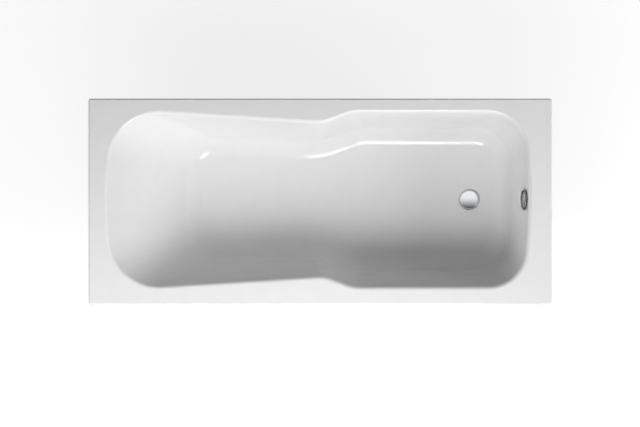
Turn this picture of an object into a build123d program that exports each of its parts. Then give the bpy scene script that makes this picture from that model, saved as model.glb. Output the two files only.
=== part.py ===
from build123d import *
import math
import os

# A rectangular bath of enamelled steel, 1800 x 800 mm, with a waisted basin, on four screw feet.
# Millimetres. X runs from the head end (-) to the drain end (+), Y from the front (-) to the back (+),
# Z up. The origin is on the floor, under the middle of the rim.

# Rim and sheet
length = 1800
width = 800
rim_height = 560
depth = 380
steel = 3
edge_height = 35
plan_corner = 10
edge_radius = 6
rim_radius = 18

# Basin: rim lands, outline at the rim, lean of the walls from upright, and radii
head_land = 67.5
drain_land = 89.5
back_land = 55
front_land = 69
shower_share = 0.381
ramp_length = 109
waist_step = 42
head_flare = 53
ramp_spread_drain = 26
ramp_spread_head = 20
head_lean = 41.3
drain_lean = 13.1
shower_lean = 10
waist_lean = 12
flare_lean = 19.3
head_bow_radius = 1300
drain_bow_radius = 2200
rim_corner_radii = {"head": 190, "waist": 120, "shoulder": 130, "drain": 150}
floor_corner_radii = {"head": 130, "waist": 150, "shoulder": 150, "drain": 130}
floor_radius = 95
floor_fall = 0.01
loft_spare = 5

# Waste: heights run down from the floor of the basin
waste_from_drain_end = 321
waste_hole = 52
recess_radius = 39
recess_depth = 3
flange_radius = 35
flange_thickness = 2
flange_seat = 2.5
throat_radius = 24
throat_wall = 2
throat_length = 16
flat_gasket = 1
lower_gasket = 3
waste_rim_height = 5
waste_rim_spare = 2
moulding = 3
collar_length = 18
collar_wall = 3
chamber_radius = 48
chamber_height = 34
hub_height = 7
hub_drop = 10
hub_wall = 4
spoke = 3
waste_spokes = 3
spoke_turn = 60
seal_ring = 2
skirt_length = 10
cup_radius = 47
cup_wall = 4
cup_height = 85
dip_radius = 18
dip_wall = 2
dip_length = 80
outlet_radius = 20
outlet_wall = 2
outlet_drop = 27
outlet_run = 95
outlet_tail = 70
outlet_bend = 60
outlet_turn = 45

# Plug
plug_radius = 37.5
plug_dome = 9
plug_edge = 4
plug_wall = 2
plug_gap = 1.5
plug_boss_radius = 7
plug_stem_radius = 4
plug_stem_tip = 42
plug_thread = 8
plug_seal_height = 2.8
plug_seal_inset = 3
plug_nut_flats = 13
plug_nut_height = 5
plug_lift = 9

# Lifting gear: rocker in the waste body, Bowden cable, crank on the knob's shaft
rocker_reach = 22
rocker_arm = 18
rocker_side = 28
rocker_width = 6
rocker_thickness = 3.5
rocker_nose = 3
rocker_pin_radius = 2
rocker_eye = 4.5
rocker_sleeve_spare = 1
bearing = 4
link_pin_radius = 1.5
link_pin_spare = 1
crank_disc_radius = 9
crank_disc = 2
knob_turn = 90
wire_radius = 0.75
wire_grip = 17
sheath_radius = 2.5
nipple_width = 10
nipple_height = 8
nipple_thickness = 3
gland_radius = 5
gland_length = 12
clip_drops = (120, 230)
clip_width = 8
clip_wall = 2

# Overflow: distances along its axis from the enamel's face, and the pipe behind it
overflow_drop = 60
overflow_hole = 52
overflow_gasket = 3
overflow_flange_radius = 37
overflow_flange = 4
overflow_radius = 30
overflow_length = 64
neck_wall = 3
overflow_hub = 7
overflow_spokes = 4
face_ring_radius = 33
face_ring = 2.5
face_ring_bore = 9
face_window = 9
window_turns = (45, 90, 135, 225, 270, 315)
screw_circle = 17.5
screw_radius = 2
screw_head_radius = 3.6
screw_boss_radius = 4
screw_slot = 1
knob_radius = 41
knob_stand_off = 3.5
knob_thickness = 7
knob_wall = 2.5
knob_dish_radius = 33
knob_dish = 1.5
knob_roll = 1.2
knob_boss_radius = 9
shaft_radius = 5
pipe_radius = 16
pipe_wall = 2
pipe_offset = 43
pipe_bend = 80
cable_offset = 13
cable_bend = 60
cable_turn_height = 2
cable_straight = 40
socket_length = 18
socket_wall = 3.5
socket_reach = 32
nut_wall = 5
nut_length = 18
nut_lip = 3
nut_sides = 12

# Feet
rail_width = 40
rail_height = 22
rail_sheet = 2
rail_bend = 3
rail_end = 25
rail_places = {"head": -330, "drain": 390}
bedding = 4
bedding_length = 70
bedding_place = 95
foot_inset = 100
stem_radius = 5
adjust = 40
stem_spare = 8
stem_chamfer = 1
bush_radius = 9
bush_height = 14
lock_nut_height = 8
nut_flats = 17
collar_height = 8
leg_radius = 32
leg_base = 6
leg_tube_radius = 10
leg_top_radius = 14
leg_rib = 4
leg_ribs = 4
leg_socket = 60
sole_radius = 28
sole_height = 6
sole_stand = 2
stud_radius = 4
stud_spread = 30
stud_end = 2.5
stud_nut_flats = 13
stud_nut_height = 6.5
washer_radius = 8
washer = 1.6

# Deadening mats and earthing lug
mat = 3
floor_mat = (-240, 290)
floor_mat_half = 110
side_mat = (190, 560)
backrest_mat = (60, 260)
backrest_mat_half = 170
mat_heights = (110, 320)
lug_width = 30
lug_length = 42
lug_weld = 20
lug_sheet = 3
lug_place = 275
lug_hole_radius = 3.3

# Fits
running = 0.05
clear = 0.3
hole_clear = 0.5

# How far a shape runs into the one it is joined to, and how near two heights are to count as the same
bite = 1
same = 0.01

# Places worked out from the sizes above
axis_y = (front_land - back_land) / 2
shower_half = (width - back_land - front_land) / 2
waist_half = shower_half - waist_step
head_half = waist_half + head_flare
head_x = -length / 2 + head_land
drain_x = length / 2 - drain_land
shoulder_x = drain_x - shower_share * length
waist_x = shoulder_x - ramp_length
waste_x = length / 2 - waste_from_drain_end
floor_z = rim_height - depth
seat_z = floor_z - recess_depth
under_z = seat_z - steel
foot_spread = width / 2 - foot_inset
rail_length = 2 * (foot_spread + rail_end)


def lean_in(lean, below, grow):
    """How far a wall that leans in has come in at a depth below the rim, less what it is grown by."""
    angle = math.radians(lean)
    return below * math.tan(angle) - grow / math.cos(angle)


def between(rim_value, floor_value, below):
    return rim_value + (floor_value - rim_value) * below / depth


def basin_corners(below, grow):
    """The basin's outline at a depth below the rim, as corner points of its back half, ends and radii."""
    head = head_x + lean_in(head_lean, below, grow)
    drain = drain_x - lean_in(drain_lean, below, grow)
    head_corner = Vector(head, head_half - lean_in(flare_lean, below, grow))
    waist = Vector(between(waist_x, waist_x - ramp_spread_head, below),
                   waist_half - lean_in(waist_lean, below, grow))
    shoulder = Vector(between(shoulder_x, shoulder_x + ramp_spread_drain, below),
                      shower_half - lean_in(shower_lean, below, grow))
    drain_corner = Vector(drain, shoulder.Y)
    turn = {"head": grow, "waist": -grow, "shoulder": grow, "drain": grow}
    radii = {name: between(rim_corner_radii[name], floor_corner_radii[name], below) + turn[name]
             for name in turn}
    return head, drain, (head_corner, waist, shoulder, drain_corner), radii


def round_corner(before, corner, after, radius):
    """Start, middle and end of the arc that rounds a corner between two straight stretches."""
    back = (before - corner).normalized()
    on = (after - corner).normalized()
    half = math.radians(back.get_angle(on)) / 2
    inward = (back + on).normalized()
    centre = corner + inward * (radius / math.sin(half))
    reach = radius / math.tan(half)
    return corner + back * reach, centre - inward * radius, corner + on * reach


def end_corner(start, corner, radius, end_x, bow_radius, side):
    """Start, middle and end of the arc from a straight stretch into the bowed end wall."""
    along = (corner - start).normalized()
    inward = Vector(along.Y, -along.X) * side
    bow_centre = Vector(end_x - side * bow_radius, 0)
    offset = start + inward * radius - bow_centre
    projection = offset.dot(along)
    reach = -projection + math.sqrt(projection**2 - offset.dot(offset) + (bow_radius - radius)**2)
    centre = start + inward * radius + along * reach
    on_line = centre - inward * radius
    on_end = bow_centre + (centre - bow_centre).normalized() * bow_radius
    middle = ((on_line - centre) + (on_end - centre)).normalized()
    return on_line, centre + middle * radius, on_end


def basin_outline(below, grow):
    """Closed outline of the basin, level, at a depth below the rim."""
    head, drain, (head_corner, waist, shoulder, drain_corner), radii = basin_corners(below, grow)
    start, head_middle, head_end = end_corner(waist, head_corner, radii["head"], head,
                                              head_bow_radius + grow, -1)
    stop, drain_middle, drain_end = end_corner(shoulder, drain_corner, radii["drain"], drain,
                                               drain_bow_radius + grow, 1)
    waist_arc = round_corner(head_corner, waist, shoulder, radii["waist"])
    shoulder_arc = round_corner(waist, shoulder, drain_corner, radii["shoulder"])
    back_half = [(head_end, head_middle, start), (start, waist_arc[0]), waist_arc,
                 (waist_arc[2], shoulder_arc[0]), shoulder_arc, (shoulder_arc[2], stop),
                 (stop, drain_middle, drain_end)]
    front_half = [tuple(Vector(p.X, -p.Y) for p in reversed(points)) for points in reversed(back_half)]
    stretches = back_half + [(drain_end, Vector(drain, 0), front_half[0][0])]
    stretches += front_half + [(front_half[-1][-1], Vector(head, 0), head_end)]
    place = Pos(0, axis_y, rim_height - below)
    edges = [ThreePointArc(*points) if len(points) == 3 else Line(*points) for points in stretches]
    return place * Wire(edges)


def basin(grow):
    """The basin's space, grown outwards on every side: 0 is the enamel's face, steel is the underside."""
    lowest = depth + 2 * floor_radius * floor_fall + grow + loft_spare
    walls = Solid.make_loft([basin_outline(0, grow), basin_outline(lowest, grow)], ruled=True)
    floor = Plane(origin=(waste_x, axis_y, floor_z - grow), z_dir=(floor_fall, 0, 1))
    space = split(walls, bisect_by=floor, keep=Keep.TOP)
    bottom = space.faces().sort_by(Axis.Z)[0]
    return fillet(bottom.edges(), floor_radius + grow)


def cylinder(radius, low, high, bore=0):
    """Upright cylinder or ring on the Z axis, from one height to another."""
    ring = Circle(radius) - Circle(bore) if bore else Circle(radius)
    return extrude(Plane.XY.offset(low) * ring, high - low)


def cone(low_radius, high_radius, low, high):
    return Pos(0, 0, (low + high) / 2) * Cone(low_radius, high_radius, high - low)


def hexagon(flats, low, high, bore=0):
    shape = RegularPolygon(flats / 2, 6, major_radius=False)
    shape = shape - Circle(bore) if bore else shape
    return extrude(Plane.XY.offset(low) * shape, high - low)


def block(x_low, x_high, y_low, y_high, z_low, z_high):
    middle = Pos((x_low + x_high) / 2, (y_low + y_high) / 2, (z_low + z_high) / 2)
    return middle * Box(x_high - x_low, y_high - y_low, z_high - z_low)


def save(name, *shapes):
    solids = [solid for shape in shapes for solid in shape.solids()]
    export_step(solids[0] if len(solids) == 1 else Compound(children=solids), f"parts/{name}.step")


# Heights of the waste's pieces, from the underside of the bath down
body_top = under_z - lower_gasket
roof_z = body_top - waste_rim_height
chamber_top = roof_z - moulding
chamber_low = chamber_top - chamber_height
body_low = chamber_low - moulding
inlet_z = (roof_z + body_low) / 2
hub_z = body_top - hub_drop
cup_top = body_low - seal_ring
cup_low = cup_top - cup_height
outlet_z = cup_top - outlet_drop
stem_tip = floor_z - plug_stem_tip

# The rocker turns as far above level as below it while it lifts the plug
rocker_turn = 2 * math.degrees(math.asin(plug_lift / (2 * rocker_reach)))
half_turn = math.radians(rocker_turn / 2)
nose_z = stem_tip - clear - rocker_nose
pivot_z = nose_z + rocker_reach * math.sin(half_turn)
cable_z = pivot_z + rocker_arm
wire_travel = 2 * rocker_arm * math.tan(half_turn)
crank_radius = wire_travel / (2 * math.sin(math.radians(knob_turn / 2)))

# Heights of the feet's pieces, from the rail down
rail_top = floor_z - steel - bedding
web_z = rail_top - rail_sheet
bush_z = web_z - bush_height
lock_nut_z = bush_z - lock_nut_height
collar_top = lock_nut_z - clear
leg_top = collar_top - collar_height

# Frames: the waste's axis is upright, the overflow's is square to the wall of the drain end
lean = math.radians(drain_lean)
waste = Pos(waste_x, axis_y, 0)
inlet = Plane(origin=(waste_x, axis_y, inlet_z), x_dir=(0, 1, 0), z_dir=(1, 0, 0)).location
outlet = Plane(origin=(waste_x, axis_y, outlet_z), x_dir=(1, 0, 0), z_dir=(0, 1, 0)).location
rocker_frame = Plane(origin=(waste_x + rocker_reach, axis_y, pivot_z), x_dir=(1, 0, 0),
                     z_dir=(0, -1, 0)).location
cable_inlet = Plane(origin=(waste_x, axis_y - rocker_side, cable_z), x_dir=(0, 1, 0),
                    z_dir=(1, 0, 0)).location
overflow_plane = Plane(origin=(drain_x - overflow_drop * math.tan(lean), axis_y, rim_height - overflow_drop),
                       x_dir=(0, -1, 0), z_dir=(-math.cos(lean), 0, math.sin(lean)))
overflow = overflow_plane.location
spout = overflow * Pos(0, 0, -pipe_offset) * Rot(90, 0, 0)
crank_middle = crank_radius * (1 + math.cos(math.radians(knob_turn / 2))) / 2
crank_start = -crank_radius * math.sin(math.radians(knob_turn / 2))
cable_outlet = overflow * Pos(crank_middle, 0, -cable_offset) * Rot(90, 0, 0)


def chamber_side(radius, beside):
    """How far out a round wall is, on a line that runs beside its axis."""
    return math.sqrt(radius**2 - beside**2)


def overflow_point(across, up, out):
    return overflow_plane.from_local_coords(Vector(across, up, out))


# The water pipe from the overflow to the waste, and the cable that runs beside it
pipe_start = overflow_radius + socket_reach - socket_length + clear
pipe_low = (inlet_z - overflow_plane.origin.Z + pipe_offset * math.sin(lean)) / math.cos(lean)
pipe_end_x = waste_x + chamber_radius + moulding + socket_reach - socket_length + clear
cable_low_z = floor_z + cable_turn_height
cable_low = (cable_low_z - overflow_plane.origin.Z + cable_offset * math.sin(lean)) / math.cos(lean)
cable_end = chamber_side(chamber_radius, rocker_side) + moulding


def bath_shell(inside, outside):
    """Pressed steel: flat rim with its edge folded down, and the basin, with the two holes."""
    top = rim_height
    slab = block(-length / 2, length / 2, -width / 2, width / 2, top - edge_height, top)
    slab = fillet(slab.edges().filter_by(Axis.Z), plan_corner)
    slab = fillet(slab.faces().sort_by(Axis.Z)[-1].edges(), edge_radius)
    hollow = block(-length / 2 + steel, length / 2 - steel, -width / 2 + steel, width / 2 - steel,
                   top - edge_height, top - steel)
    hollow = fillet(hollow.edges().filter_by(Axis.Z), plan_corner - steel)
    hollow = fillet(hollow.faces().sort_by(Axis.Z)[-1].edges(), edge_radius - steel)
    shell = slab - hollow + outside
    under_rim = [edge for edge in shell.edges() if abs(edge.center().Z - (top - steel)) < same
                 and abs(edge.bounding_box().size.Z) < same
                 and abs(edge.center().X) < length / 2 - 2 * edge_radius
                 and abs(edge.center().Y) < width / 2 - 2 * edge_radius]
    shell = fillet(under_rim, rim_radius - steel)
    shell = shell - inside
    mouth = [edge for edge in shell.edges() if abs(edge.center().Z - top) < same
             and abs(edge.center().X) < length / 2 - 2 * edge_radius
             and abs(edge.center().Y) < width / 2 - 2 * edge_radius]
    shell = fillet(mouth, rim_radius)
    dish = waste * cylinder(recess_radius + steel, under_z, floor_z + steel)
    shell = shell + (dish - inside)
    shell = shell - waste * cylinder(recess_radius, seat_z, floor_z + steel)
    shell = shell - waste * cylinder(waste_hole / 2, under_z - steel, floor_z + steel)
    shell = shell - overflow * cylinder(overflow_hole / 2, -3 * steel, 2 * steel)
    return shell


def waste_gaskets():
    flat = cylinder(flange_radius - recess_depth, seat_z, seat_z + flat_gasket, waste_hole / 2 + hole_clear)
    lower = cylinder(recess_radius, body_top, under_z, waste_hole / 2 + hole_clear)
    return waste * flat, waste * lower


def waste_flange():
    """Chromed brass: a ring in the recess of the floor, with a threaded throat and a bevelled seat."""
    low = seat_z + flat_gasket
    top = low + flange_thickness
    ring = cylinder(flange_radius, low, top)
    ring = fillet(ring.faces().sort_by(Axis.Z)[-1].edges(), flange_thickness / 2)
    flange = ring + cylinder(throat_radius, low - throat_length, low)
    bore = throat_radius - throat_wall
    flange -= cylinder(bore, low - throat_length, top)
    flange -= cone(bore, bore + flange_seat, top - flange_seat, top)
    return waste * flange


def spokes(count, inner, outer, low, high, turn=0):
    """Radial bars of the spoke width, from one radius to another."""
    bar = block(inner, outer, -spoke / 2, spoke / 2, low, high)
    return [Rot(0, 0, turn + 360 * i / count) * bar for i in range(count)]


def socket_outer(radius):
    return radius + clear + socket_wall


def socket(radius, wall_at):
    """A pipe socket along its own axis, out of a round wall to its mouth, and what is bored out of it."""
    mouth = wall_at + socket_reach
    stub = cylinder(socket_outer(radius), wall_at / 2, mouth)
    inner = chamber_side(wall_at - moulding, radius - pipe_wall) - hole_clear
    bore = cylinder(radius - pipe_wall, inner, mouth)
    bore += cylinder(radius + clear, mouth - socket_length, mouth)
    return stub, bore


def union(radius, wall_at):
    """The sealing ring and the union nut on the mouth of a pipe socket."""
    mouth = wall_at + socket_reach
    outer = socket_outer(radius)
    seal = cylinder(outer, mouth, mouth + seal_ring, radius)
    grip = RegularPolygon(outer + nut_wall, nut_sides)
    nut = extrude(Plane.XY.offset(mouth - nut_length) * grip, nut_length + seal_ring + nut_lip)
    nut -= cylinder(outer + running, mouth - nut_length, mouth + seal_ring)
    nut -= cylinder(radius + clear, mouth, mouth + seal_ring + nut_lip)
    return seal, nut


def waste_body():
    """Moulded plastic: a low chamber under the bath with a threaded neck, the guide for the plug's stem,
    bearings for the rocker, the inlets for the overflow pipe and the cable, and the dip tube."""
    outer = chamber_radius + moulding
    body = cylinder(recess_radius + waste_rim_spare, roof_z, body_top) + cylinder(outer, body_low, roof_z)
    stub, bore = socket(pipe_radius, outer)
    body += Location((0, 0, inlet_z), (0, 90, 0)) * stub
    gland = Location((0, -rocker_side, cable_z), (0, 90, 0))
    body += gland * cylinder(gland_radius, cable_end - 2 * moulding, cable_end + gland_length)
    body -= cylinder(chamber_radius, chamber_low, chamber_top)
    neck = throat_radius + running + collar_wall
    body += cylinder(neck, body_top - collar_length, body_top)
    body -= cylinder(throat_radius + running, body_top - collar_length, body_top)
    hub_radius = plug_stem_radius + running + hub_wall
    hub_low = hub_z - hub_height
    for bar in spokes(waste_spokes, hub_radius - bite, throat_radius + bite, hub_low, hub_z, spoke_turn):
        body += bar
    body += cylinder(hub_radius, hub_low, hub_z)
    body -= cylinder(plug_stem_radius + running, hub_low, hub_z)
    body += cylinder(cup_radius - running, body_low - skirt_length, body_low)
    body -= cylinder(cup_radius - running - moulding, body_low - skirt_length, body_low)
    body += cylinder(dip_radius, body_low - dip_length, body_low)
    body -= cylinder(dip_radius - dip_wall, body_low - dip_length, chamber_low)
    body -= Location((0, 0, inlet_z), (0, 90, 0)) * bore
    body -= gland * cylinder(sheath_radius + running, cable_end, cable_end + gland_length)
    body -= gland * cylinder(wire_radius + clear, cable_end - 2 * moulding, cable_end)
    body = waste * body
    for low, high in bearing_places():
        post = block(-rocker_eye, rocker_eye, -(pivot_z - chamber_low), rocker_eye, low, high)
        body += rocker_frame * post
    body -= rocker_frame * cylinder(rocker_pin_radius, *rocker_pin_ends())
    return body


def rocker_span():
    """Where the rocker's sleeve starts and ends along its pin, from back to front."""
    half = rocker_width / 2 + rocker_sleeve_spare
    return -half, rocker_side + half


def bearing_places():
    back, front = rocker_span()
    return (back - clear - bearing, back - clear), (front + clear, front + clear + bearing)


def rocker_pin_ends():
    (low, _), (_, high) = bearing_places()
    return low, high


def bar_between(start, end, thickness, low, high):
    """A flat bar with round ends, between two points of the sketch plane."""
    along = Vector(*end) - Vector(*start)
    middle = (Vector(*start) + Vector(*end)) / 2
    turn = math.degrees(math.atan2(along.Y, along.X))
    shape = Pos(middle.X, middle.Y) * Rot(0, 0, turn) * SlotCenterToCenter(along.length, thickness)
    return extrude(Plane.XY.offset(low) * shape, high - low)


def rocker():
    """Moulded lever: a sleeve on its pin, an arm with a rounded nose under the plug's stem, and an upright
    arm, forked round the cable's wire, that the cable's end pulls."""
    back, front = rocker_span()
    half = rocker_width / 2
    sleeve = cylinder(rocker_eye, back, front)
    nose = (-rocker_reach * math.cos(half_turn), -rocker_reach * math.sin(half_turn))
    arm = bar_between((0, 0), nose, rocker_thickness, -half, half)
    tip = Pos(*nose) * cylinder(rocker_nose, -half, half)
    eye_top = rocker_arm / math.cos(half_turn) + link_pin_radius
    upright = bar_between((0, 0), (-eye_top * math.sin(half_turn), eye_top * math.cos(half_turn)),
                          2 * (link_pin_radius + running) + rocker_thickness,
                          rocker_side - half, rocker_side + half)
    slot_low = rocker_arm
    slot_high = rocker_arm / math.cos(half_turn)
    slot = bar_between((-slot_low * math.sin(half_turn), slot_low * math.cos(half_turn)),
                       (-slot_high * math.sin(half_turn), slot_high * math.cos(half_turn)),
                       2 * (link_pin_radius + running), rocker_side - half, rocker_side + half)
    fork = block(-rocker_reach, rocker_reach, rocker_arm - 2 * link_pin_radius, 2 * rocker_arm,
                 rocker_side - wire_radius - clear, rocker_side + wire_radius + clear)
    lever = sleeve + arm + tip + upright - slot - fork
    return rocker_frame * (lever - cylinder(rocker_pin_radius + running, back, front))


def rocker_pin():
    return rocker_frame * cylinder(rocker_pin_radius, *rocker_pin_ends())


def lower_wire():
    """The cable's wire at the waste, with the cross pin that pulls the rocker's upright arm."""
    start = rocker_reach - rocker_arm * math.tan(half_turn)
    wire = cylinder(wire_radius, start, cable_end + wire_grip)
    half = rocker_width / 2 + link_pin_spare
    pin = Pos(0, 0, start) * Rot(0, 90, 0) * cylinder(link_pin_radius, -half, half)
    return cable_inlet * (wire + pin)


def upper_wire():
    """The cable's wire at the overflow, with its slotted nipple on the crank pin."""
    play = crank_radius - crank_middle
    half = nipple_thickness / 2
    plate = block(crank_middle - nipple_width / 2, crank_middle + nipple_width / 2,
                  crank_start - nipple_height / 2, crank_start + nipple_height / 2, -half, half)
    slot = SlotCenterToCenter(2 * play, 2 * (link_pin_radius + clear))
    plate -= extrude(Plane.XY.offset(-half) * Pos(crank_middle, crank_start) * slot, nipple_thickness)
    plate = overflow * Pos(0, 0, -cable_offset) * plate
    wire = cable_outlet * cylinder(wire_radius, nipple_height / 2 - bite - crank_start,
                                   overflow_radius + wire_grip)
    return plate + wire


def trap_cup():
    """Moulded cup that holds the water seal, with the outlet socket on its back side."""
    outer = cup_radius + cup_wall
    cup = cylinder(outer, cup_low, cup_top)
    cup = fillet(cup.faces().sort_by(Axis.Z)[0].edges(), 2 * cup_wall)
    stub, bore = socket(outlet_radius, outer)
    turned = Location((0, 0, outlet_z), (-90, 0, 0))
    cup += turned * stub
    cup -= cylinder(cup_radius, cup_low + cup_wall, cup_top)
    cup -= turned * bore
    return waste * cup


def cup_seal():
    return waste * cylinder(cup_radius + cup_wall, cup_top, body_low, cup_radius)


def swept_tube(path, outer, bore):
    """A round tube along a path of straight runs and tangent arcs."""
    start = Plane(origin=path @ 0, z_dir=path % 0)
    tube = sweep(start * Circle(outer), path=path)
    return tube - sweep(start * Circle(bore), path=path)


def outlet_pipe():
    """The pipe to the drain: level out of the trap, then down through a bend to its open end."""
    seated = cup_radius + cup_wall + socket_reach - socket_length + clear
    start = Vector(waste_x, axis_y + seated, outlet_z)
    corner = start + Vector(0, outlet_run, 0)
    turn = math.radians(outlet_turn)
    end = corner + Vector(0, math.cos(turn), -math.sin(turn)) * outlet_tail
    path = FilletPolyline(start, corner, end, radius=outlet_bend)
    return swept_tube(path, outlet_radius, outlet_radius - outlet_wall)


def overflow_pipe():
    top = overflow_point(0, -pipe_start, -pipe_offset)
    corner = overflow_point(0, pipe_low, -pipe_offset)
    end = Vector(pipe_end_x, axis_y, inlet_z)
    path = FilletPolyline(top, corner, end, radius=pipe_bend)
    return swept_tube(path, pipe_radius, pipe_radius - pipe_wall)


def cable_sheath():
    """The cable's sheath, down behind the wall and over the pipe to the waste body."""
    top = overflow_point(crank_middle, -overflow_radius, -cable_offset)
    corner = overflow_point(crank_middle, cable_low, -cable_offset)
    end = Vector(waste_x + cable_end, axis_y - rocker_side, cable_z)
    turn = end + Vector(gland_length + cable_straight, 0, 0)
    path = FilletPolyline(top, corner, turn, end, radius=cable_bend)
    return swept_tube(path, sheath_radius, wire_radius + running)


def cable_clips():
    """Plastic clips, pushed on the overflow pipe, that hold the cable."""
    clips = []
    for drop in clip_drops:
        frame = overflow * Pos(0, -drop, 0) * Rot(90, 0, 0)
        pipe_at = Pos(0, -pipe_offset)
        cable_at = Pos(crank_middle, -cable_offset)
        ring = pipe_at * Circle(pipe_radius + clip_wall)
        hook = cable_at * Circle(sheath_radius + clip_wall)
        bridge = Pos(crank_middle / 2, -(pipe_offset - pipe_radius + cable_offset) / 2)
        bridge = bridge * Rectangle(2 * clip_wall, pipe_offset - pipe_radius - cable_offset)
        shape = ring + hook + bridge - pipe_at * Circle(pipe_radius + running)
        shape -= cable_at * Circle(sheath_radius + running)
        clips.append(frame * extrude(shape, clip_width))
    return clips


def plug_heights():
    """Where the cap's edge starts, where the seal starts, and the top of the flange."""
    flange_top = seat_z + flat_gasket + flange_thickness
    return floor_z + plug_gap, flange_top - flange_seat + 2 * clear, flange_top


def dome_half(radius, sphere_radius, low, top):
    """Half the section of a disc whose top is a part of a sphere, on the XZ plane."""
    half = Pos(radius / 2, (low + top) / 2) * Rectangle(radius, top - low)
    return half & Pos(0, top - sphere_radius) * Circle(sphere_radius)


def plug_cap():
    """Chromed brass dome, thin and hollow, with a threaded boss for the stem."""
    low, _, _ = plug_heights()
    top = low + plug_edge + plug_dome
    sphere = (plug_radius**2 + plug_dome**2) / (2 * plug_dome)
    section = dome_half(plug_radius, sphere, low, top)
    section = fillet(section.vertices().group_by(Axis.X)[-1].sort_by(Axis.Y)[-1], plug_wall)
    inner = dome_half(plug_radius - plug_wall, sphere - plug_wall, low, top - plug_wall)
    boss = inner & Pos(0, top) * Rectangle(2 * plug_boss_radius, 2 * (top - low))
    section = section - inner + boss
    cap = revolve(Plane.XZ * section, Axis.Z)
    return waste * (cap - cylinder(plug_stem_radius, low, low + plug_thread))


def plug_stem():
    """Brass stem with the plate that carries the seal; its thread sets the height of the cap."""
    low, seal_low, _ = plug_heights()
    stem = cylinder(plug_stem_radius, stem_tip, low + plug_thread)
    plate = cylinder(seal_bore(), seal_low, seal_low + plug_seal_height)
    return waste * (stem + plate)


def seal_bore():
    return throat_radius - throat_wall - plug_seal_inset


def plug_seal():
    """Rubber ring with a bevelled edge that closes on the flange's seat."""
    _, seal_low, flange_top = plug_heights()
    bore = throat_radius - throat_wall
    edge = bore + seal_low - (flange_top - flange_seat) - 2 * clear
    rise = flange_top - seal_low
    ring = cone(edge, edge + rise, seal_low, flange_top)
    ring += cylinder(edge + rise, flange_top, seal_low + plug_seal_height)
    return waste * (ring - cylinder(seal_bore(), seal_low, seal_low + plug_seal_height))


def plug_nut():
    _, seal_low, _ = plug_heights()
    return waste * hexagon(plug_nut_flats, seal_low - plug_nut_height, seal_low, plug_stem_radius)


def overflow_seal():
    """Rubber ring between the back of the wall and the overflow body, shaped to the bowed wall."""
    ring = cylinder(overflow_flange_radius, -steel - overflow_gasket, 0, overflow_hole / 2 + hole_clear)
    return overflow * ring


def overflow_body():
    """Moulded elbow behind the wall: a round cup with the pipe socket, the cable's gland, and spokes that
    carry the knob's shaft and the two screws."""
    front = -steel - overflow_gasket
    back = front - overflow_flange
    neck = overflow_hole / 2 - clear
    body = cylinder(overflow_flange_radius, back, front) + cylinder(overflow_radius, -overflow_length, back)
    stub, bore = socket(pipe_radius, overflow_radius)
    below = Location((0, 0, -pipe_offset), (90, 0, 0))
    gland = Location((crank_middle, 0, -cable_offset), (90, 0, 0))
    body += below * stub
    body += gland * cylinder(gland_radius, overflow_radius / 2, overflow_radius + gland_length)
    body -= cylinder(overflow_radius - moulding, -overflow_length + moulding, back)
    body += cylinder(neck, back, -clear)
    body -= cylinder(neck - neck_wall, back, -clear)
    hub_radius = shaft_radius + running + hub_wall
    for bar in spokes(overflow_spokes, hub_radius - bite, neck - neck_wall + bite, -overflow_hub, -clear):
        body += bar
    body += cylinder(hub_radius, -overflow_hub, -clear)
    body -= cylinder(shaft_radius + running, -overflow_hub, -clear)
    for place in screw_places():
        body += place * cylinder(screw_boss_radius, -overflow_hub, -clear)
        body -= place * cylinder(screw_radius, -overflow_hub, -clear)
    body -= below * bore
    body -= gland * cylinder(sheath_radius + running, overflow_radius, overflow_radius + gland_length)
    body -= gland * cylinder(wire_radius + clear, overflow_radius / 2, overflow_radius)
    return overflow * body


def screw_places():
    return Pos(screw_circle, 0), Pos(-screw_circle, 0)


def screw_shape():
    head = screw_head_radius - screw_radius
    return (cone(screw_radius, screw_head_radius, face_ring - head, face_ring)
            + cylinder(screw_radius, -overflow_hub, face_ring))


def overflow_face():
    """Moulded disc that clamps the overflow to the bowed wall, with round windows for the water."""
    disc = cylinder(face_ring_radius, 0, face_ring, face_ring_bore)
    disc = fillet(disc.faces().sort_by(Axis.Z)[-1].outer_wire().edges(), face_ring / 2)
    for turn in window_turns:
        disc -= Rot(0, 0, turn) * Pos(screw_circle, 0) * cylinder(face_window / 2, 0, face_ring)
    for place in screw_places():
        disc -= place * screw_shape()
    return overflow * disc


def overflow_screws():
    slot = block(-screw_head_radius, screw_head_radius, -screw_slot / 2, screw_slot / 2,
                 face_ring - screw_slot, face_ring)
    return [overflow * (place * (screw_shape() - slot)) for place in screw_places()]


def overflow_knob():
    """Chromed rosette that stands off the wall: a rolled outer ring round a shallow dish."""
    low = knob_stand_off
    top = low + knob_thickness
    knob = cylinder(knob_radius, low, top)
    knob -= cylinder(knob_dish_radius, top - knob_dish, top)
    knob = fillet(knob.edges().filter_by(GeomType.CIRCLE).group_by(Axis.Z)[-1], knob_roll)
    knob -= cylinder(knob_radius - knob_wall, low, top - knob_dish - knob_wall)
    knob += cylinder(knob_boss_radius, low, top - knob_dish - knob_wall)
    return overflow * (knob - cylinder(shaft_radius, low, top - knob_dish - knob_wall))


def knob_shaft():
    """Steel shaft through the face disc and the hub, with a crank disc and pin at its inner end."""
    end = knob_stand_off + knob_thickness - knob_dish - knob_wall
    disc_front = -overflow_hub - clear
    disc_back = disc_front - crank_disc
    shaft = cylinder(shaft_radius, disc_back, end) + cylinder(crank_disc_radius, disc_back, disc_front)
    pin = Rot(0, 0, -knob_turn / 2) * Pos(crank_radius, 0)
    shaft += pin * cylinder(link_pin_radius, -cable_offset - nipple_thickness / 2 - link_pin_spare, disc_back)
    return overflow * shaft


def foot_places():
    return {f"{end}_{side}": Pos(x, axis_y + way * foot_spread)
            for end, x in rail_places.items() for side, way in (("front", -1), ("back", 1))}


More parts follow.
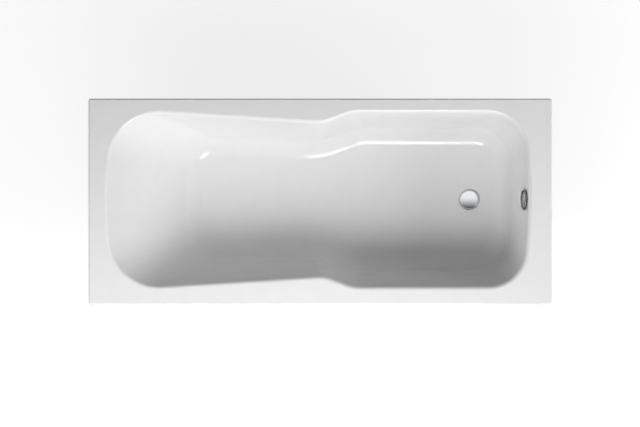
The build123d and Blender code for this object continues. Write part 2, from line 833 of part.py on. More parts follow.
def rail(end):
    """Galvanised steel channel, open below, across the underside of the bath."""
    outer = Pos(0, rail_top - rail_height / 2) * Rectangle(rail_width, rail_height)
    outer = fillet(outer.vertices().group_by(Axis.Y)[-1], rail_bend)
    inner = Pos(0, web_z - rail_height / 2) * Rectangle(rail_width - 2 * rail_sheet, rail_height)
    inner = fillet(inner.vertices().group_by(Axis.Y)[-1], rail_bend - rail_sheet)
    channel = extrude(Plane.XZ * (outer - inner), rail_length / 2, both=True)
    for way in (-1, 1):
        channel -= Pos(0, way * foot_spread) * cylinder(stem_radius + hole_clear, web_z, rail_top)
        channel -= Pos(0, way * stud_spread) * cylinder(stud_radius + hole_clear, web_z, rail_top)
    return Pos(rail_places[end], axis_y) * channel


def rail_beddings(outside):
    """Butyl pads between the rails and the floor, cut to the fall of the floor."""
    half = rail_width / 2 - rail_bend
    pads = []
    for x in rail_places.values():
        for way in (-1, 1):
            near, far = sorted((way * (bedding_place - bedding_length / 2),
                                way * (bedding_place + bedding_length / 2)))
            pad = block(x - half, x + half, axis_y + near, axis_y + far, rail_top, floor_z + rail_height)
            pads.append(pad - outside)
    return pads


def rail_studs(outside):
    low = web_z - washer - stud_nut_height - stud_end
    return [Pos(x, axis_y + way * stud_spread) * cylinder(stud_radius, low, floor_z + rail_height) - outside
            for x in rail_places.values() for way in (-1, 1)]


def stud_places():
    return [Pos(x, axis_y + way * stud_spread) for x in rail_places.values() for way in (-1, 1)]


def stud_washers():
    ring = cylinder(washer_radius, web_z - washer, web_z, stud_radius + running)
    return [place * ring for place in stud_places()]


def stud_nuts():
    top = web_z - washer
    nut = hexagon(stud_nut_flats, top - stud_nut_height, top, stud_radius)
    return [place * nut for place in stud_places()]


def rail_bushes():
    bush = cylinder(bush_radius, bush_z, web_z, stem_radius + running)
    return [place * bush for place in foot_places().values()]


def lock_nuts():
    nut = hexagon(nut_flats, lock_nut_z, bush_z, stem_radius + running)
    return [place * nut for place in foot_places().values()]


def foot_stem():
    """Zinc-plated screw stem with a hexagon collar that turns it."""
    stem = cylinder(stem_radius, leg_top - leg_socket, rail_top + adjust + stem_spare)
    stem = chamfer(stem.faces().sort_by(Axis.Z)[-1].edges(), stem_chamfer)
    return stem + hexagon(nut_flats, leg_top, collar_top)


def foot_leg():
    """Moulded plastic leg: a base disc, a tube for the stem, and four ribs."""
    base_top = sole_stand + leg_base
    leg = cylinder(leg_radius, sole_stand, base_top) + cylinder(leg_tube_radius, sole_stand, leg_top)
    rib = make_face(Polyline((0, base_top), (leg_radius - leg_rib / 2, base_top), (leg_top_radius, leg_top),
                             (0, leg_top), close=True))
    rib = extrude(Plane.XZ * rib, leg_rib / 2, both=True)
    for i in range(leg_ribs):
        leg += Rot(0, 0, 360 * (i + 0.5) / leg_ribs) * rib
    leg -= cylinder(stem_radius, leg_top - leg_socket, leg_top)
    return leg - cylinder(sole_radius, sole_stand, sole_height)


def foot_sole():
    return cylinder(sole_radius, 0, sole_height)


def mats(outside):
    """Bitumen mats stuck to the underside of the floor, the side walls and the backrest."""
    layer = basin(steel + mat) - outside
    low, high = (floor_z + height for height in mat_heights)
    floor_part = block(*floor_mat, axis_y - floor_mat_half, axis_y + floor_mat_half, floor_z - depth,
                       floor_z + rail_height)
    back_part = block(*side_mat, axis_y + floor_mat_half, width / 2, low, high)
    front_part = block(*side_mat, -width / 2, axis_y - floor_mat_half, low, high)
    high_end, low_end = (head_x + along for along in backrest_mat)
    rest_part = block(high_end, low_end, axis_y - backrest_mat_half, axis_y + backrest_mat_half,
                      floor_z, rim_height - edge_height)
    return layer & floor_part, (layer & back_part, layer & front_part), layer & rest_part


def earth_lug():
    """Steel tab welded to the inside of the folded edge at the drain end, hanging below it, with its hole."""
    top = rim_height - edge_height + lug_weld
    outer = length / 2 - steel
    left, right = lug_place - lug_width / 2, lug_place + lug_width / 2
    tab = block(outer - lug_sheet, outer, left, right, top - lug_length, top)
    return tab - lug_hole() * cylinder(lug_hole_radius, -lug_sheet, 0)


def lug_hole():
    """The hole's axis: it starts on the tab's outer face and runs out of the drain end."""
    middle = rim_height - edge_height - (lug_length - lug_weld) / 2
    return Plane(origin=(length / 2 - steel, lug_place, middle), z_dir=(1, 0, 0)).location


os.makedirs("parts", exist_ok=True)
inside = basin(0)
outside = basin(steel)
save("bath_shell", bath_shell(inside, outside))
floor_part, side_parts, rest_part = mats(outside)
save("floor_mat", floor_part)
save("side_mats", *side_parts)
save("backrest_mat", rest_part)

flat, lower = waste_gaskets()
save("waste_flat_gasket", flat)
save("waste_lower_gasket", lower)
save("waste_flange", waste_flange())
save("waste_body", waste_body())
save("trap_cup", trap_cup())
save("trap_seal", cup_seal())
save("outlet_pipe", outlet_pipe())
seal, nut = union(outlet_radius, cup_radius + cup_wall)
save("outlet_seal", outlet * seal)
save("outlet_nut", outlet * nut)

save("plug_cap", plug_cap())
save("plug_stem", plug_stem())
save("plug_seal", plug_seal())
save("plug_nut", plug_nut())

save("rocker", rocker())
save("rocker_pin", rocker_pin())
save("cable_sheath", cable_sheath())
save("cable_clips", *cable_clips())
save("cable_wire_upper", upper_wire())
save("cable_wire_lower", lower_wire())

save("overflow_gasket", overflow_seal() - outside)
save("overflow_body", overflow_body())
save("overflow_face", overflow_face() & inside)
save("overflow_screws", *overflow_screws())
save("overflow_knob", overflow_knob())
save("knob_shaft", knob_shaft())
save("overflow_pipe", overflow_pipe())
ends = [(inlet, union(pipe_radius, chamber_radius + moulding)), (spout, union(pipe_radius, overflow_radius))]
save("overflow_pipe_seals", *[place * parts[0] for place, parts in ends])
save("overflow_pipe_nuts", *[place * parts[1] for place, parts in ends])

for end in rail_places:
    save(f"{end}_rail", rail(end))
save("rail_beddings", *rail_beddings(outside))
save("rail_studs", *rail_studs(outside))
save("stud_washers", *stud_washers())
save("stud_nuts", *stud_nuts())
save("rail_bushes", *rail_bushes())
save("lock_nuts", *lock_nuts())
for name, place in foot_places().items():
    save(f"foot_stem_{name}", place * foot_stem())
    save(f"foot_leg_{name}", place * foot_leg())
    save(f"foot_sole_{name}", place * foot_sole())

save("earth_lug", earth_lug())
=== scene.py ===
import math

import bmesh
import bpy
import numpy as np
from mathutils import Matrix, Vector


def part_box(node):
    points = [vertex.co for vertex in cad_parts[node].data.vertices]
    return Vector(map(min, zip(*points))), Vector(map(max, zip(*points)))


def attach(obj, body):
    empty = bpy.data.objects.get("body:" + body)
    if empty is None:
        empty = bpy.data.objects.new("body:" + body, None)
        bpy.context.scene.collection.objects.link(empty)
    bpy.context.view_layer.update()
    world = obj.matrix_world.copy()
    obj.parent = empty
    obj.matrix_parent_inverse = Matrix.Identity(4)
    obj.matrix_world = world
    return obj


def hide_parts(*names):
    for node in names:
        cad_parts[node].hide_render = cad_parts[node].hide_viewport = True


# A rectangular bath of enamelled steel, seen from straight above, with its waste, overflow and feet.
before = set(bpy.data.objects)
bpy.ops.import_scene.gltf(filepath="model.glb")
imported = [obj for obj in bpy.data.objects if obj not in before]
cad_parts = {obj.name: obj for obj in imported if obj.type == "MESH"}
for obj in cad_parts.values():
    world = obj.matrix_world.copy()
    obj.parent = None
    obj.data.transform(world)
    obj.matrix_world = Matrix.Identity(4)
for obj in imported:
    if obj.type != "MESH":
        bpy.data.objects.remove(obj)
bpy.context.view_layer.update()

# The picture: the camera looks straight down from far off, so the rim shows as a true rectangle. The rim's
# 1.8 m are 463.5 pixels of the picture's 640, and the middle of the picture lies a little in front of the
# middle of the rim.
rim_length = 1.8
rim_pixels = 463.5
picture_pixels = 640
picture_middle = (-0.25, -11.9)
camera_height = 4
pixel = rim_length / rim_pixels

camera = bpy.data.objects.new("camera", bpy.data.cameras.new("camera"))
bpy.context.scene.collection.objects.link(camera)
camera.data.type = "ORTHO"
camera.data.ortho_scale = picture_pixels * pixel
camera.location = (picture_middle[0] * pixel, picture_middle[1] * pixel, camera_height)
bpy.context.scene.camera = camera
bpy.context.scene.view_settings.view_transform = "Standard"


def linear(hex_colour):
    """A linear RGBA colour from an sRGB hex value such as 'F4F4F1'."""
    parts = [int(hex_colour[i:i + 2], 16) / 255 for i in (0, 2, 4)]
    return [c / 12.92 if c <= 0.04045 else ((c + 0.055) / 1.055) ** 2.4 for c in parts] + [1]


def add_node(tree, kind, settings=(), **inputs):
    """Adds a node, with its settings, and its inputs as numbers, colours or links from other nodes."""
    node = tree.nodes.new(kind)
    for name, value in dict(settings).items():
        setattr(node, name, value)
    for name, value in inputs.items():
        by_number = name[0] == "i" and name[1:].isdigit()
        socket = node.inputs[int(name[1:]) if by_number else name.replace("_", " ")]
        if isinstance(value, bpy.types.NodeSocket):
            tree.links.new(value, socket)
        else:
            socket.default_value = value
    return node


def bare_tree(holder):
    """The emptied node tree of a material or of the world."""
    holder.use_nodes = True
    holder.node_tree.nodes.clear()
    return holder.node_tree


def looked_at(tree):
    """1 on a ray that the camera sends out, straight, off something glossy or through something clear."""
    path = add_node(tree, "ShaderNodeLightPath")
    shiny = add_node(tree, "ShaderNodeMath", {"operation": "MAXIMUM"}, i0=path.outputs["Is Glossy Ray"],
                     i1=path.outputs["Is Transmission Ray"])
    either = add_node(tree, "ShaderNodeMath", {"operation": "MAXIMUM"}, i0=path.outputs["Is Camera Ray"],
                      i1=shiny.outputs[0])
    return either.outputs[0]


# The studio floor is a plain pale surface that looks almost white and keeps the bath's soft shadow. It is
# clear from below, so that the underside can be looked at.
floor_size = 24

bpy.ops.object.select_all(action="DESELECT")
bpy.ops.mesh.primitive_plane_add(size=floor_size)
floor = bpy.context.object
floor.name = "floor"
floor_white = bpy.data.materials.new("floor_white")
tree = bare_tree(floor_white)
side = add_node(tree, "ShaderNodeNewGeometry")
pale = add_node(tree, "ShaderNodeBsdfDiffuse", Color=linear("E6E6E6"))
thin = add_node(tree, "ShaderNodeBsdfDiffuse", Color=linear("808080"))
glow = add_node(tree, "ShaderNodeEmission", Color=linear("FFFFFF"), Strength=0.82)
shown = add_node(tree, "ShaderNodeAddShader", i0=thin.outputs[0], i1=glow.outputs[0])
top = add_node(tree, "ShaderNodeMixShader", i0=looked_at(tree), i1=pale.outputs[0], i2=shown.outputs[0])
clear = add_node(tree, "ShaderNodeBsdfTransparent")
both = add_node(tree, "ShaderNodeMixShader", i0=side.outputs["Backfacing"], i1=top.outputs[0],
                i2=clear.outputs[0])
add_node(tree, "ShaderNodeOutputMaterial", Surface=both.outputs[0])
floor.data.materials.append(floor_white)

# The studio light is soft and comes from in front, most of it from the left, with a low fill from the
# right. One small box near the bath draws the bright lines on the enamel's bends. The rest don't show in
# reflections.
fill_strength = 0.04
lamps = {
    "small_box": {"turn": -82, "tilt": 40, "away": 2.2, "aim": (0.1, 0.3, 0.3), "size": (0.66, 0.57),
                  "power": 10},
    "near_left_box": {"turn": -125, "tilt": 48, "away": 3, "aim": (-0.3, 0, 0.5), "size": (2.4, 2.4),
                      "power": 76},
    "front_box": {"turn": -75, "tilt": 43, "away": 5.2, "aim": (0, 0, 0.4), "size": (4, 3), "power": 100},
    "right_fill": {"turn": -5, "tilt": 68, "away": 4.5, "aim": (0, 0, 0.4), "size": (4, 2.4), "power": 136},
}
for name, lamp in lamps.items():
    turn, tilt = math.radians(lamp["turn"]), math.radians(lamp["tilt"])
    towards = Vector((math.sin(tilt) * math.cos(turn), math.sin(tilt) * math.sin(turn), math.cos(tilt)))
    box = bpy.data.objects.new(name, bpy.data.lights.new(name, "AREA"))
    bpy.context.scene.collection.objects.link(box)
    box.data.shape = "RECTANGLE"
    box.data.size, box.data.size_y = lamp["size"]
    box.data.energy = lamp["power"]
    box.location = Vector(lamp["aim"]) + lamp["away"] * towards
    box.rotation_euler = towards.to_track_quat("Z", "Y").to_euler()
    box.visible_glossy = name == "small_box"

world = bpy.data.worlds.new("surround")
bpy.context.scene.world = world
tree = bare_tree(world)
plain = add_node(tree, "ShaderNodeBackground", Color=linear("FFFFFF"), Strength=fill_strength)
white = add_node(tree, "ShaderNodeBackground", Color=linear("FFFFFF"), Strength=1)
mixed = add_node(tree, "ShaderNodeMixShader", i0=looked_at(tree), i1=plain.outputs[0], i2=white.outputs[0])
add_node(tree, "ShaderNodeOutputWorld", Surface=mixed.outputs[0])

# A card hangs over the front of the studio and shows in reflections alone. It is white over the bath and
# darkens to the front, so that the chrome shades off to its front edge.
card_height = 3.5
card_back = 0.4
card_dark = -1.7
card_front = -3.4
card_width = 7

bpy.ops.object.select_all(action="DESELECT")
bpy.ops.mesh.primitive_plane_add(size=1, location=(0, (card_back + card_front) / 2, card_height))
card = bpy.context.object
card.name = "card"
bpy.ops.transform.resize(value=(card_width, card_back - card_front, 1))
bpy.ops.object.transform_apply(location=True, rotation=True, scale=True)
card.visible_camera = False
card.visible_diffuse = False
card.visible_shadow = False
card_grey = bpy.data.materials.new("card_grey")
tree = bare_tree(card_grey)
place = add_node(tree, "ShaderNodeTexCoord")
along = add_node(tree, "ShaderNodeSeparateXYZ", Vector=place.outputs["Object"])
shade = add_node(tree, "ShaderNodeMapRange", Value=along.outputs["Y"], From_Min=card_back, From_Max=card_dark,
                 To_Min=1, To_Max=0.05)
glow = add_node(tree, "ShaderNodeEmission", Color=linear("FFFFFF"), Strength=shade.outputs[0])
add_node(tree, "ShaderNodeOutputMaterial", Surface=glow.outputs[0])
card.data.materials.append(card_grey)

# The bath is one pressed sheet of steel with enamel fired on both sides: a flat rim whose edge is folded
# down, and a basin with a sloped backrest at the head, a waist, and a wide shower zone at the drain. Its
# surface is worked out from the wall's straight lines down, as the press tool's is, with white enamel (the
# first material) inside and on the rim, and the darker ground coat (the second) underneath.
mm = 0.001
rim_width = 0.8
rim_top = 0.56
basin_depth = 0.38
sheet = 0.003
fold_height = 0.035
plan_corner = 0.010
flat_margin = 0.002
rim_inset = 0.008
fold_radius = 0.006
mouth_radius = 0.018
foot_radius = 0.095
floor_fall = 0.01
axis_y = 0.007
head_x = -0.8325
drain_x = 0.8105
waste_x = 0.579
shoulder_x = drain_x - 0.381 * rim_length
waist_x = shoulder_x - 0.109
shower_half = 0.338
waist_half = 0.296
head_half = 0.349
wall_degrees = {"head": 41.3, "drain": 13.1, "shower": 10, "waist": 12, "flare": 19.3}
wall_angles = {name: math.radians(degrees) for name, degrees in wall_degrees.items()}
leans = {name: math.tan(angle) for name, angle in wall_angles.items()}
waist_drift = 0.02
shoulder_drift = 0.026
head_bow = 1.3
drain_bow = 2.2
lowest = basin_depth + 2 * foot_radius * floor_fall + 0.005
floor_z = rim_top - basin_depth


def arc(centre, start, end, steps):
    """Points from start to just before end, round a centre, the short way."""
    turn = np.angle((end - centre) / (start - centre))
    return list(centre + (start - centre) * np.exp(1j * turn * np.arange(steps) / steps))


def line(start, end, steps):
    return list(start + (end - start) * np.arange(steps) / steps)


def round_corner(before, corner, after, radius):
    """Start, centre and end of the arc that rounds a corner between two straight stretches."""
    back = (before - corner) / abs(before - corner)
    on = (after - corner) / abs(after - corner)
    half = abs(np.angle(on / back)) / 2
    centre = corner + (back + on) / abs(back + on) * radius / math.sin(half)
    return corner + back * radius / math.tan(half), centre, corner + on * radius / math.tan(half)


def end_corner(start, corner, radius, end_x, bow, side):
    """Start, centre and end of the arc from a straight stretch into the bowed end wall."""
    along = (corner - start) / abs(corner - start)
    inward = -1j * along * side
    bow_centre = end_x - side * bow
    offset = start + inward * radius - bow_centre
    projection = (offset * along.conjugate()).real
    reach = math.sqrt(projection ** 2 - abs(offset) ** 2 + (bow - radius) ** 2) - projection
    centre = start + inward * radius + along * reach
    on_end = bow_centre + (centre - bow_centre) / abs(centre - bow_centre) * bow
    return centre - inward * radius, centre, on_end


def basin_outline(below):
    """The basin's outline at a depth below the rim, from the head over the back to the drain and round."""
    share = below / basin_depth
    radii = {"head": 0.19 - 0.06 * share, "waist": 0.12 + 0.03 * share, "shoulder": 0.13 + 0.02 * share,
             "drain": 0.15 - 0.02 * share}
    head = head_x + leans["head"] * below
    drain = drain_x - leans["drain"] * below
    head_corner = head + 1j * (head_half - leans["flare"] * below)
    waist = waist_x - waist_drift * share + 1j * (waist_half - leans["waist"] * below)
    shoulder = shoulder_x + shoulder_drift * share + 1j * (shower_half - leans["shower"] * below)
    drain_corner = drain + 1j * shoulder.imag
    head_line, head_centre, head_end = end_corner(waist, head_corner, radii["head"], head, head_bow, -1)
    drain_line, drain_centre, drain_end = end_corner(shoulder, drain_corner, radii["drain"], drain,
                                                     drain_bow, 1)
    waist_in, waist_centre, waist_out = round_corner(head_corner, waist, shoulder, radii["waist"])
    shoulder_in, shoulder_centre, shoulder_out = round_corner(waist, shoulder, drain_corner,
                                                              radii["shoulder"])
    half = arc(head + head_bow, head, head_end, 14)
    half += arc(head_centre, head_end, head_line, 32)
    half += line(head_line, waist_in, 16)
    half += arc(waist_centre, waist_in, waist_out, 10)
    half += line(waist_out, shoulder_in, 4)
    half += arc(shoulder_centre, shoulder_in, shoulder_out, 10)
    half += line(shoulder_out, drain_line, 20)
    half += arc(drain_centre, drain_line, drain_end, 32)
    half += arc(drain - drain_bow, drain_end, drain, 14)
    loop = np.array(half + [drain] + [p.conjugate() for p in half[:0:-1]])
    return np.stack([loop.real, loop.imag + axis_y, np.full(len(loop), rim_top - below)], 1)


def inward(points, down):
    """Unit normals of the wall, into the basin, at a ring of points on its straight lines down."""
    before = points - np.roll(points, 1, 0)
    after = np.roll(points, -1, 0) - points
    step_before = np.linalg.norm(before, axis=1)[:, None]
    step_after = np.linalg.norm(after, axis=1)[:, None]
    along = before / step_before * step_after + after / step_after * step_before
    normal = np.cross(down, along)
    return normal / np.linalg.norm(normal, axis=1)[:, None]


def part_way(start, end, share):
    """A direction part of the way round from one unit vector to another."""
    angle = np.arccos(np.clip((start * end).sum(1), -1, 1))[:, None]
    return (np.sin((1 - share) * angle) * start + np.sin(share * angle) * end) / np.sin(angle)


mouth_line = basin_outline(0)
wall_down = basin_outline(lowest) - mouth_line
up = np.zeros_like(mouth_line) + (0, 0, 1)
floor_up = np.zeros_like(mouth_line) + np.array((floor_fall, 0, 1)) / math.hypot(floor_fall, 1)
floor_middle = np.array((waste_x, axis_y, floor_z))


def wall_at(share):
    points = mouth_line + wall_down * share
    return points, inward(points, wall_down)


mouth_share = np.zeros((len(mouth_line), 1))
foot_share = mouth_share + basin_depth / lowest
for _ in range(6):
    points, normal = wall_at(mouth_share)
    mouth_share = mouth_radius * (1 - normal[:, 2:]) / lowest
    points, normal = wall_at(foot_share)
    miss = ((points + normal * foot_radius - floor_middle) * floor_up).sum(1) - foot_radius
    foot_share = foot_share - (miss / (wall_down * floor_up).sum(1))[:, None]


def basin_rings(outside):
    """Rings of the basin's skin from the rim's flat to the floor's, a distance outside the enamel."""
    rings = []
    points, normal = wall_at(mouth_share)
    for share in np.linspace(0, 1, 13):
        rings.append(points - normal * mouth_radius + part_way(up, normal, share) * (mouth_radius - outside))
    for share in np.linspace(0, 1, 15)[1:-1]:
        points, normal = wall_at(mouth_share + (foot_share - mouth_share) * share)
        rings.append(points - normal * outside)
    points, normal = wall_at(foot_share)
    centre = points + normal * foot_radius
    for share in np.linspace(0, 1, 25):
        rings.append(centre - part_way(normal, floor_up, share) * (foot_radius + outside))
    level = normal - floor_up * (normal * floor_up).sum(1)[:, None]
    level /= np.linalg.norm(level, axis=1)[:, None]
    outward = (normal * (1, 1, 0)) / np.linalg.norm(normal[:, :2], axis=1)[:, None]
    rings.insert(0, rings[0] - outward * flat_margin)
    rings.append(rings[-1] + level * flat_margin)
    return rings


def rectangle(inset, z):
    """The rim's outline with rounded corners, drawn in from the outside by an inset."""
    radius = max(plan_corner - inset, 0.0005)
    x = rim_length / 2 - inset - radius
    y = rim_width / 2 - inset - radius
    corner = radius * np.exp(1j * np.linspace(0, np.pi / 2, 13))
    loop = np.concatenate([corner + x + 1j * y, 1j * corner - x + 1j * y, -corner - x - 1j * y,
                           -1j * corner + x - 1j * y])
    return np.stack([loop.real, loop.imag, np.full(len(loop), z)], 1)


def circle(radius, height, slope=0):
    """A ring round the waste, level or on the floor's slope."""
    angles = np.arange(96) / 96 * 2 * np.pi
    x = radius * np.cos(angles)
    return np.stack([waste_x + x, axis_y + radius * np.sin(angles), height - slope * x], 1)


edge_soft = 0.0008
low_edge = rim_top - fold_height
edge = [rectangle(rim_inset, rim_top)]
for angle in np.linspace(0, np.pi / 2, 9):
    edge.append(rectangle(fold_radius * (1 - np.sin(angle)), rim_top - fold_radius * (1 - np.cos(angle))))
edge += [rectangle(0, low_edge + edge_soft), rectangle(edge_soft * 0.3, low_edge + edge_soft * 0.3),
         rectangle(edge_soft, low_edge)]
fold_inside = [rectangle(sheet - edge_soft, low_edge),
               rectangle(sheet - edge_soft * 0.3, low_edge + edge_soft * 0.3),
               rectangle(sheet, low_edge + edge_soft)]
for angle in np.linspace(0, np.pi / 2, 7):
    radius = fold_radius - sheet
    height = rim_top - fold_radius + radius * np.sin(angle)
    fold_inside.append(rectangle(fold_radius - radius * np.cos(angle), height))
fold_inside.append(rectangle(rim_inset, rim_top - sheet))

recess_radius = 0.039
recess_depth = 0.003
hole_radius = 0.026
seat_z = floor_z - recess_depth
lip = 0.0013
recess = [circle(recess_radius + 2 * lip, floor_z, floor_fall)]
for angle in np.linspace(0, np.pi / 2, 7):
    height = floor_z - lip * (1 - np.cos(angle))
    recess.append(circle(recess_radius + lip * (1 - np.sin(angle)), height, floor_fall))
for angle in np.linspace(0, np.pi / 2, 7):
    recess.append(circle(recess_radius - lip * (1 - np.cos(angle)), seat_z + lip * (1 - np.sin(angle))))
recess += [circle(hole_radius + edge_soft, seat_z), circle(hole_radius, seat_z - edge_soft)]
dish = [circle(hole_radius, seat_z - sheet)]
dish += [circle(recess_radius + sheet - edge_soft, seat_z - sheet),
         circle(recess_radius + sheet, seat_z - sheet + edge_soft),
         circle(recess_radius + sheet, floor_z - sheet - edge_soft, floor_fall),
         circle(recess_radius + sheet + edge_soft, floor_z - sheet, floor_fall),
         circle(recess_radius + sheet + 3 * edge_soft, floor_z - sheet, floor_fall)]

bm = bmesh.new()


def add_rings(bm, rings, material, joined=None):
    """Closed rings of points joined to each other by quads. Returns the first and the last ring's points."""
    loops = [[bm.verts.new(p) for p in ring] for ring in rings]
    if joined:
        loops.insert(0, joined)
    for first, second in zip(loops, loops[1:]):
        for i in range(len(first)):
            j = (i + 1) % len(first)
            face = bm.faces.new((first[i], first[j], second[j], second[i]))
            face.material_index = material
    return loops[0], loops[-1]


def fill_between(bm, outer, inner, material):
    """Triangles on the flat between two rings."""
    edges = []
    for ring in (outer, inner):
        for i in range(len(ring)):
            edges.append(bm.edges.get((ring[i], ring[(i + 1) % len(ring)])))
    made = bmesh.ops.triangle_fill(bm, edges=edges, use_beauty=True)
    for item in made["geom"]:
        if isinstance(item, bmesh.types.BMFace):
            item.material_index = material


rim_in, rim_low = add_rings(bm, edge, 0)
fold_in = add_rings(bm, fold_inside, 1, rim_low)[1]
mouth_in, floor_in = add_rings(bm, basin_rings(0), 0)
mouth_out, floor_out = add_rings(bm, basin_rings(sheet), 1)
recess_in, hole_low = add_rings(bm, recess, 0)
dish_out = add_rings(bm, dish, 1, hole_low)[1]
fill_between(bm, rim_in, mouth_in, 0)
fill_between(bm, fold_in, mouth_out, 1)
fill_between(bm, floor_in, recess_in, 0)
fill_between(bm, floor_out, dish_out, 1)
bmesh.ops.recalc_face_normals(bm, faces=bm.faces)
shell_mesh = bpy.data.meshes.new("bath")
bm.to_mesh(shell_mesh)
bm.free()
bath = bpy.data.objects.new("bath", shell_mesh)
bpy.context.scene.collection.objects.link(bath)


def pick(piece):
    """Makes a piece the only selected one, and the active one."""
    bpy.ops.object.select_all(action="DESELECT")
    piece.select_set(True)
    bpy.context.view_layer.objects.active = piece


def with_modifier(piece, kind, **settings):
    """Adds a modifier to a piece and applies it."""
    pick(piece)
    modifier = piece.modifiers.new(kind.lower(), kind)
    for name, value in settings.items():
        setattr(modifier, name, value)
    bpy.ops.object.modifier_apply(modifier=modifier.name)
    return piece


def combine(piece, tool, operation):
    """Cuts a tool out of a piece, or joins the two, as one closed skin."""
    with_modifier(piece, "BOOLEAN", object=tool, operation=operation, solver="EXACT")
    bpy.data.objects.remove(tool)
    return piece


# The overflow's hole is cut square through the end wall.
overflow_drop = 0.06
overflow_place = (drain_x - overflow_drop * leans["drain"], axis_y, rim_top - overflow_drop)
overflow_turn = wall_angles["drain"] - math.pi / 2
bpy.ops.object.select_all(action="DESELECT")
bpy.ops.mesh.primitive_cylinder_add(vertices=64, radius=hole_radius, depth=0.03, location=overflow_place,
                                    rotation=(0, overflow_turn, 0))
combine(bath, bpy.context.object, "DIFFERENCE")
bpy.ops.object.shade_smooth()


def new_material(name, **sockets):
    """A material with one surface shader, whose sockets are set to numbers or colours. Also its node tree."""
    material = bpy.data.materials.new(name)
    material.use_nodes = True
    shader = material.node_tree.nodes["Principled BSDF"]
    for socket, value in sockets.items():
        shader.inputs[socket.replace("_", " ")].default_value = value
    return material, material.node_tree, shader


def put_on(tree, shader, **links):
    """Links what the nodes give to the shader's sockets."""
    for socket, source in links.items():
        tree.links.new(source, shader.inputs[socket.replace("_", " ")])


# Vitreous enamel is glass fired on the steel. It gives a deep white with a hard gloss, a very slight
# unevenness of tone, a soft orange peel about 6 mm across, and a long, faint swell from the firing.
enamel, tree, shader = new_material("vitreous_enamel", IOR=1.5)
place = add_node(tree, "ShaderNodeTexCoord")
tone = add_node(tree, "ShaderNodeTexNoise", Vector=place.outputs["Object"], Scale=1 / (45 * mm), Detail=3)
colour = add_node(tree, "ShaderNodeMixRGB", Fac=tone.outputs["Fac"], Color1=linear("D2D2D2"),
                  Color2=linear("D7D7D7"))
haze = add_node(tree, "ShaderNodeTexNoise", Vector=place.outputs["Object"], Scale=1 / (16 * mm), Detail=2)
gloss = add_node(tree, "ShaderNodeMapRange", Value=haze.outputs["Fac"], To_Min=0.06, To_Max=0.13)
peel = add_node(tree, "ShaderNodeTexNoise", Vector=place.outputs["Object"], Scale=1 / (6 * mm), Detail=1)
swell = add_node(tree, "ShaderNodeTexNoise", Vector=place.outputs["Object"], Scale=1 / (130 * mm), Detail=0)
fine = add_node(tree, "ShaderNodeBump", Height=peel.outputs["Fac"], Strength=1, Distance=0.02 * mm)
wide = add_node(tree, "ShaderNodeBump", Height=swell.outputs["Fac"], Strength=1, Distance=0.6 * mm,
                Normal=fine.outputs["Normal"])
put_on(tree, shader, Base_Color=colour.outputs["Color"], Roughness=gloss.outputs["Result"],
       Normal=wide.outputs["Normal"])

# The ground coat is the dark enamel that bonds to the steel, and it stays bare underneath. It gives a satin
# blue-black with pale and dark specks of a millimetre or two, and a coarser peel than the white's.
ground_coat, tree, shader = new_material("ground_coat_enamel", IOR=1.5)
place = add_node(tree, "ShaderNodeTexCoord")
cloud = add_node(tree, "ShaderNodeTexNoise", Vector=place.outputs["Object"], Scale=1 / (70 * mm), Detail=4)
base = add_node(tree, "ShaderNodeMixRGB", Fac=cloud.outputs["Fac"], Color1=linear("33383F"),
                Color2=linear("474D55"))
grains = add_node(tree, "ShaderNodeTexVoronoi", Vector=place.outputs["Object"], Scale=1 / (1.6 * mm))
grain = add_node(tree, "ShaderNodeSeparateColor", Color=grains.outputs["Color"])
pale_share = add_node(tree, "ShaderNodeMath", {"operation": "GREATER_THAN"}, i0=grain.outputs["Red"], i1=0.95)
dark_share = add_node(tree, "ShaderNodeMath", {"operation": "GREATER_THAN"}, i0=grain.outputs["Green"],
                      i1=0.88)
specks = add_node(tree, "ShaderNodeMixRGB", Fac=pale_share.outputs[0], Color1=base.outputs["Color"],
                  Color2=linear("6E757D"))
speckled = add_node(tree, "ShaderNodeMixRGB", Fac=dark_share.outputs[0], Color1=specks.outputs["Color"],
                    Color2=linear("22262B"))
gloss = add_node(tree, "ShaderNodeMapRange", Value=cloud.outputs["Fac"], To_Min=0.22, To_Max=0.42)
peel = add_node(tree, "ShaderNodeTexNoise", Vector=place.outputs["Object"], Scale=1 / (3 * mm), Detail=2)
relief = add_node(tree, "ShaderNodeBump", Height=peel.outputs["Fac"], Strength=1, Distance=0.05 * mm)
put_on(tree, shader, Base_Color=speckled.outputs["Color"], Roughness=gloss.outputs["Result"],
       Normal=relief.outputs["Normal"])

bath.data.materials.append(enamel)
bath.data.materials.append(ground_coat)
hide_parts("bath_shell")
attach(bath, "bath")


def arc_points(centre, radius, first, last, steps):
    """Points on an arc of a section, between two angles in degrees, as radius and height."""
    angles = np.radians(np.linspace(first, last, steps))
    return [centre + radius * complex(math.cos(angle), math.sin(angle)) for angle in angles]


def lathe(section, sides=96):
    """A solid of revolution: its section, as radius and height, is drawn point by point and spun round."""
    bpy.ops.object.select_all(action="DESELECT")
    bpy.ops.mesh.primitive_plane_add(size=mm)
    bpy.ops.object.mode_set(mode="EDIT")
    bpy.ops.mesh.merge(type="CENTER")
    bpy.ops.transform.translate(value=(section[0].real, 0, section[0].imag))
    for start, end in zip(section, section[1:]):
        step = (end.real - start.real, 0, end.imag - start.imag)
        bpy.ops.mesh.extrude_region_move(TRANSFORM_OT_translate={"value": step})
    bpy.ops.mesh.select_all(action="SELECT")
    bpy.ops.mesh.spin(steps=sides, angle=2 * math.pi, center=(0, 0, 0), axis=(0, 0, 1))
    bpy.ops.mesh.select_all(action="SELECT")
    bpy.ops.mesh.remove_doubles(threshold=0.001 * mm)
    bpy.ops.mesh.normals_make_consistent(inside=False)
    bpy.ops.object.mode_set(mode="OBJECT")
    return bpy.context.object


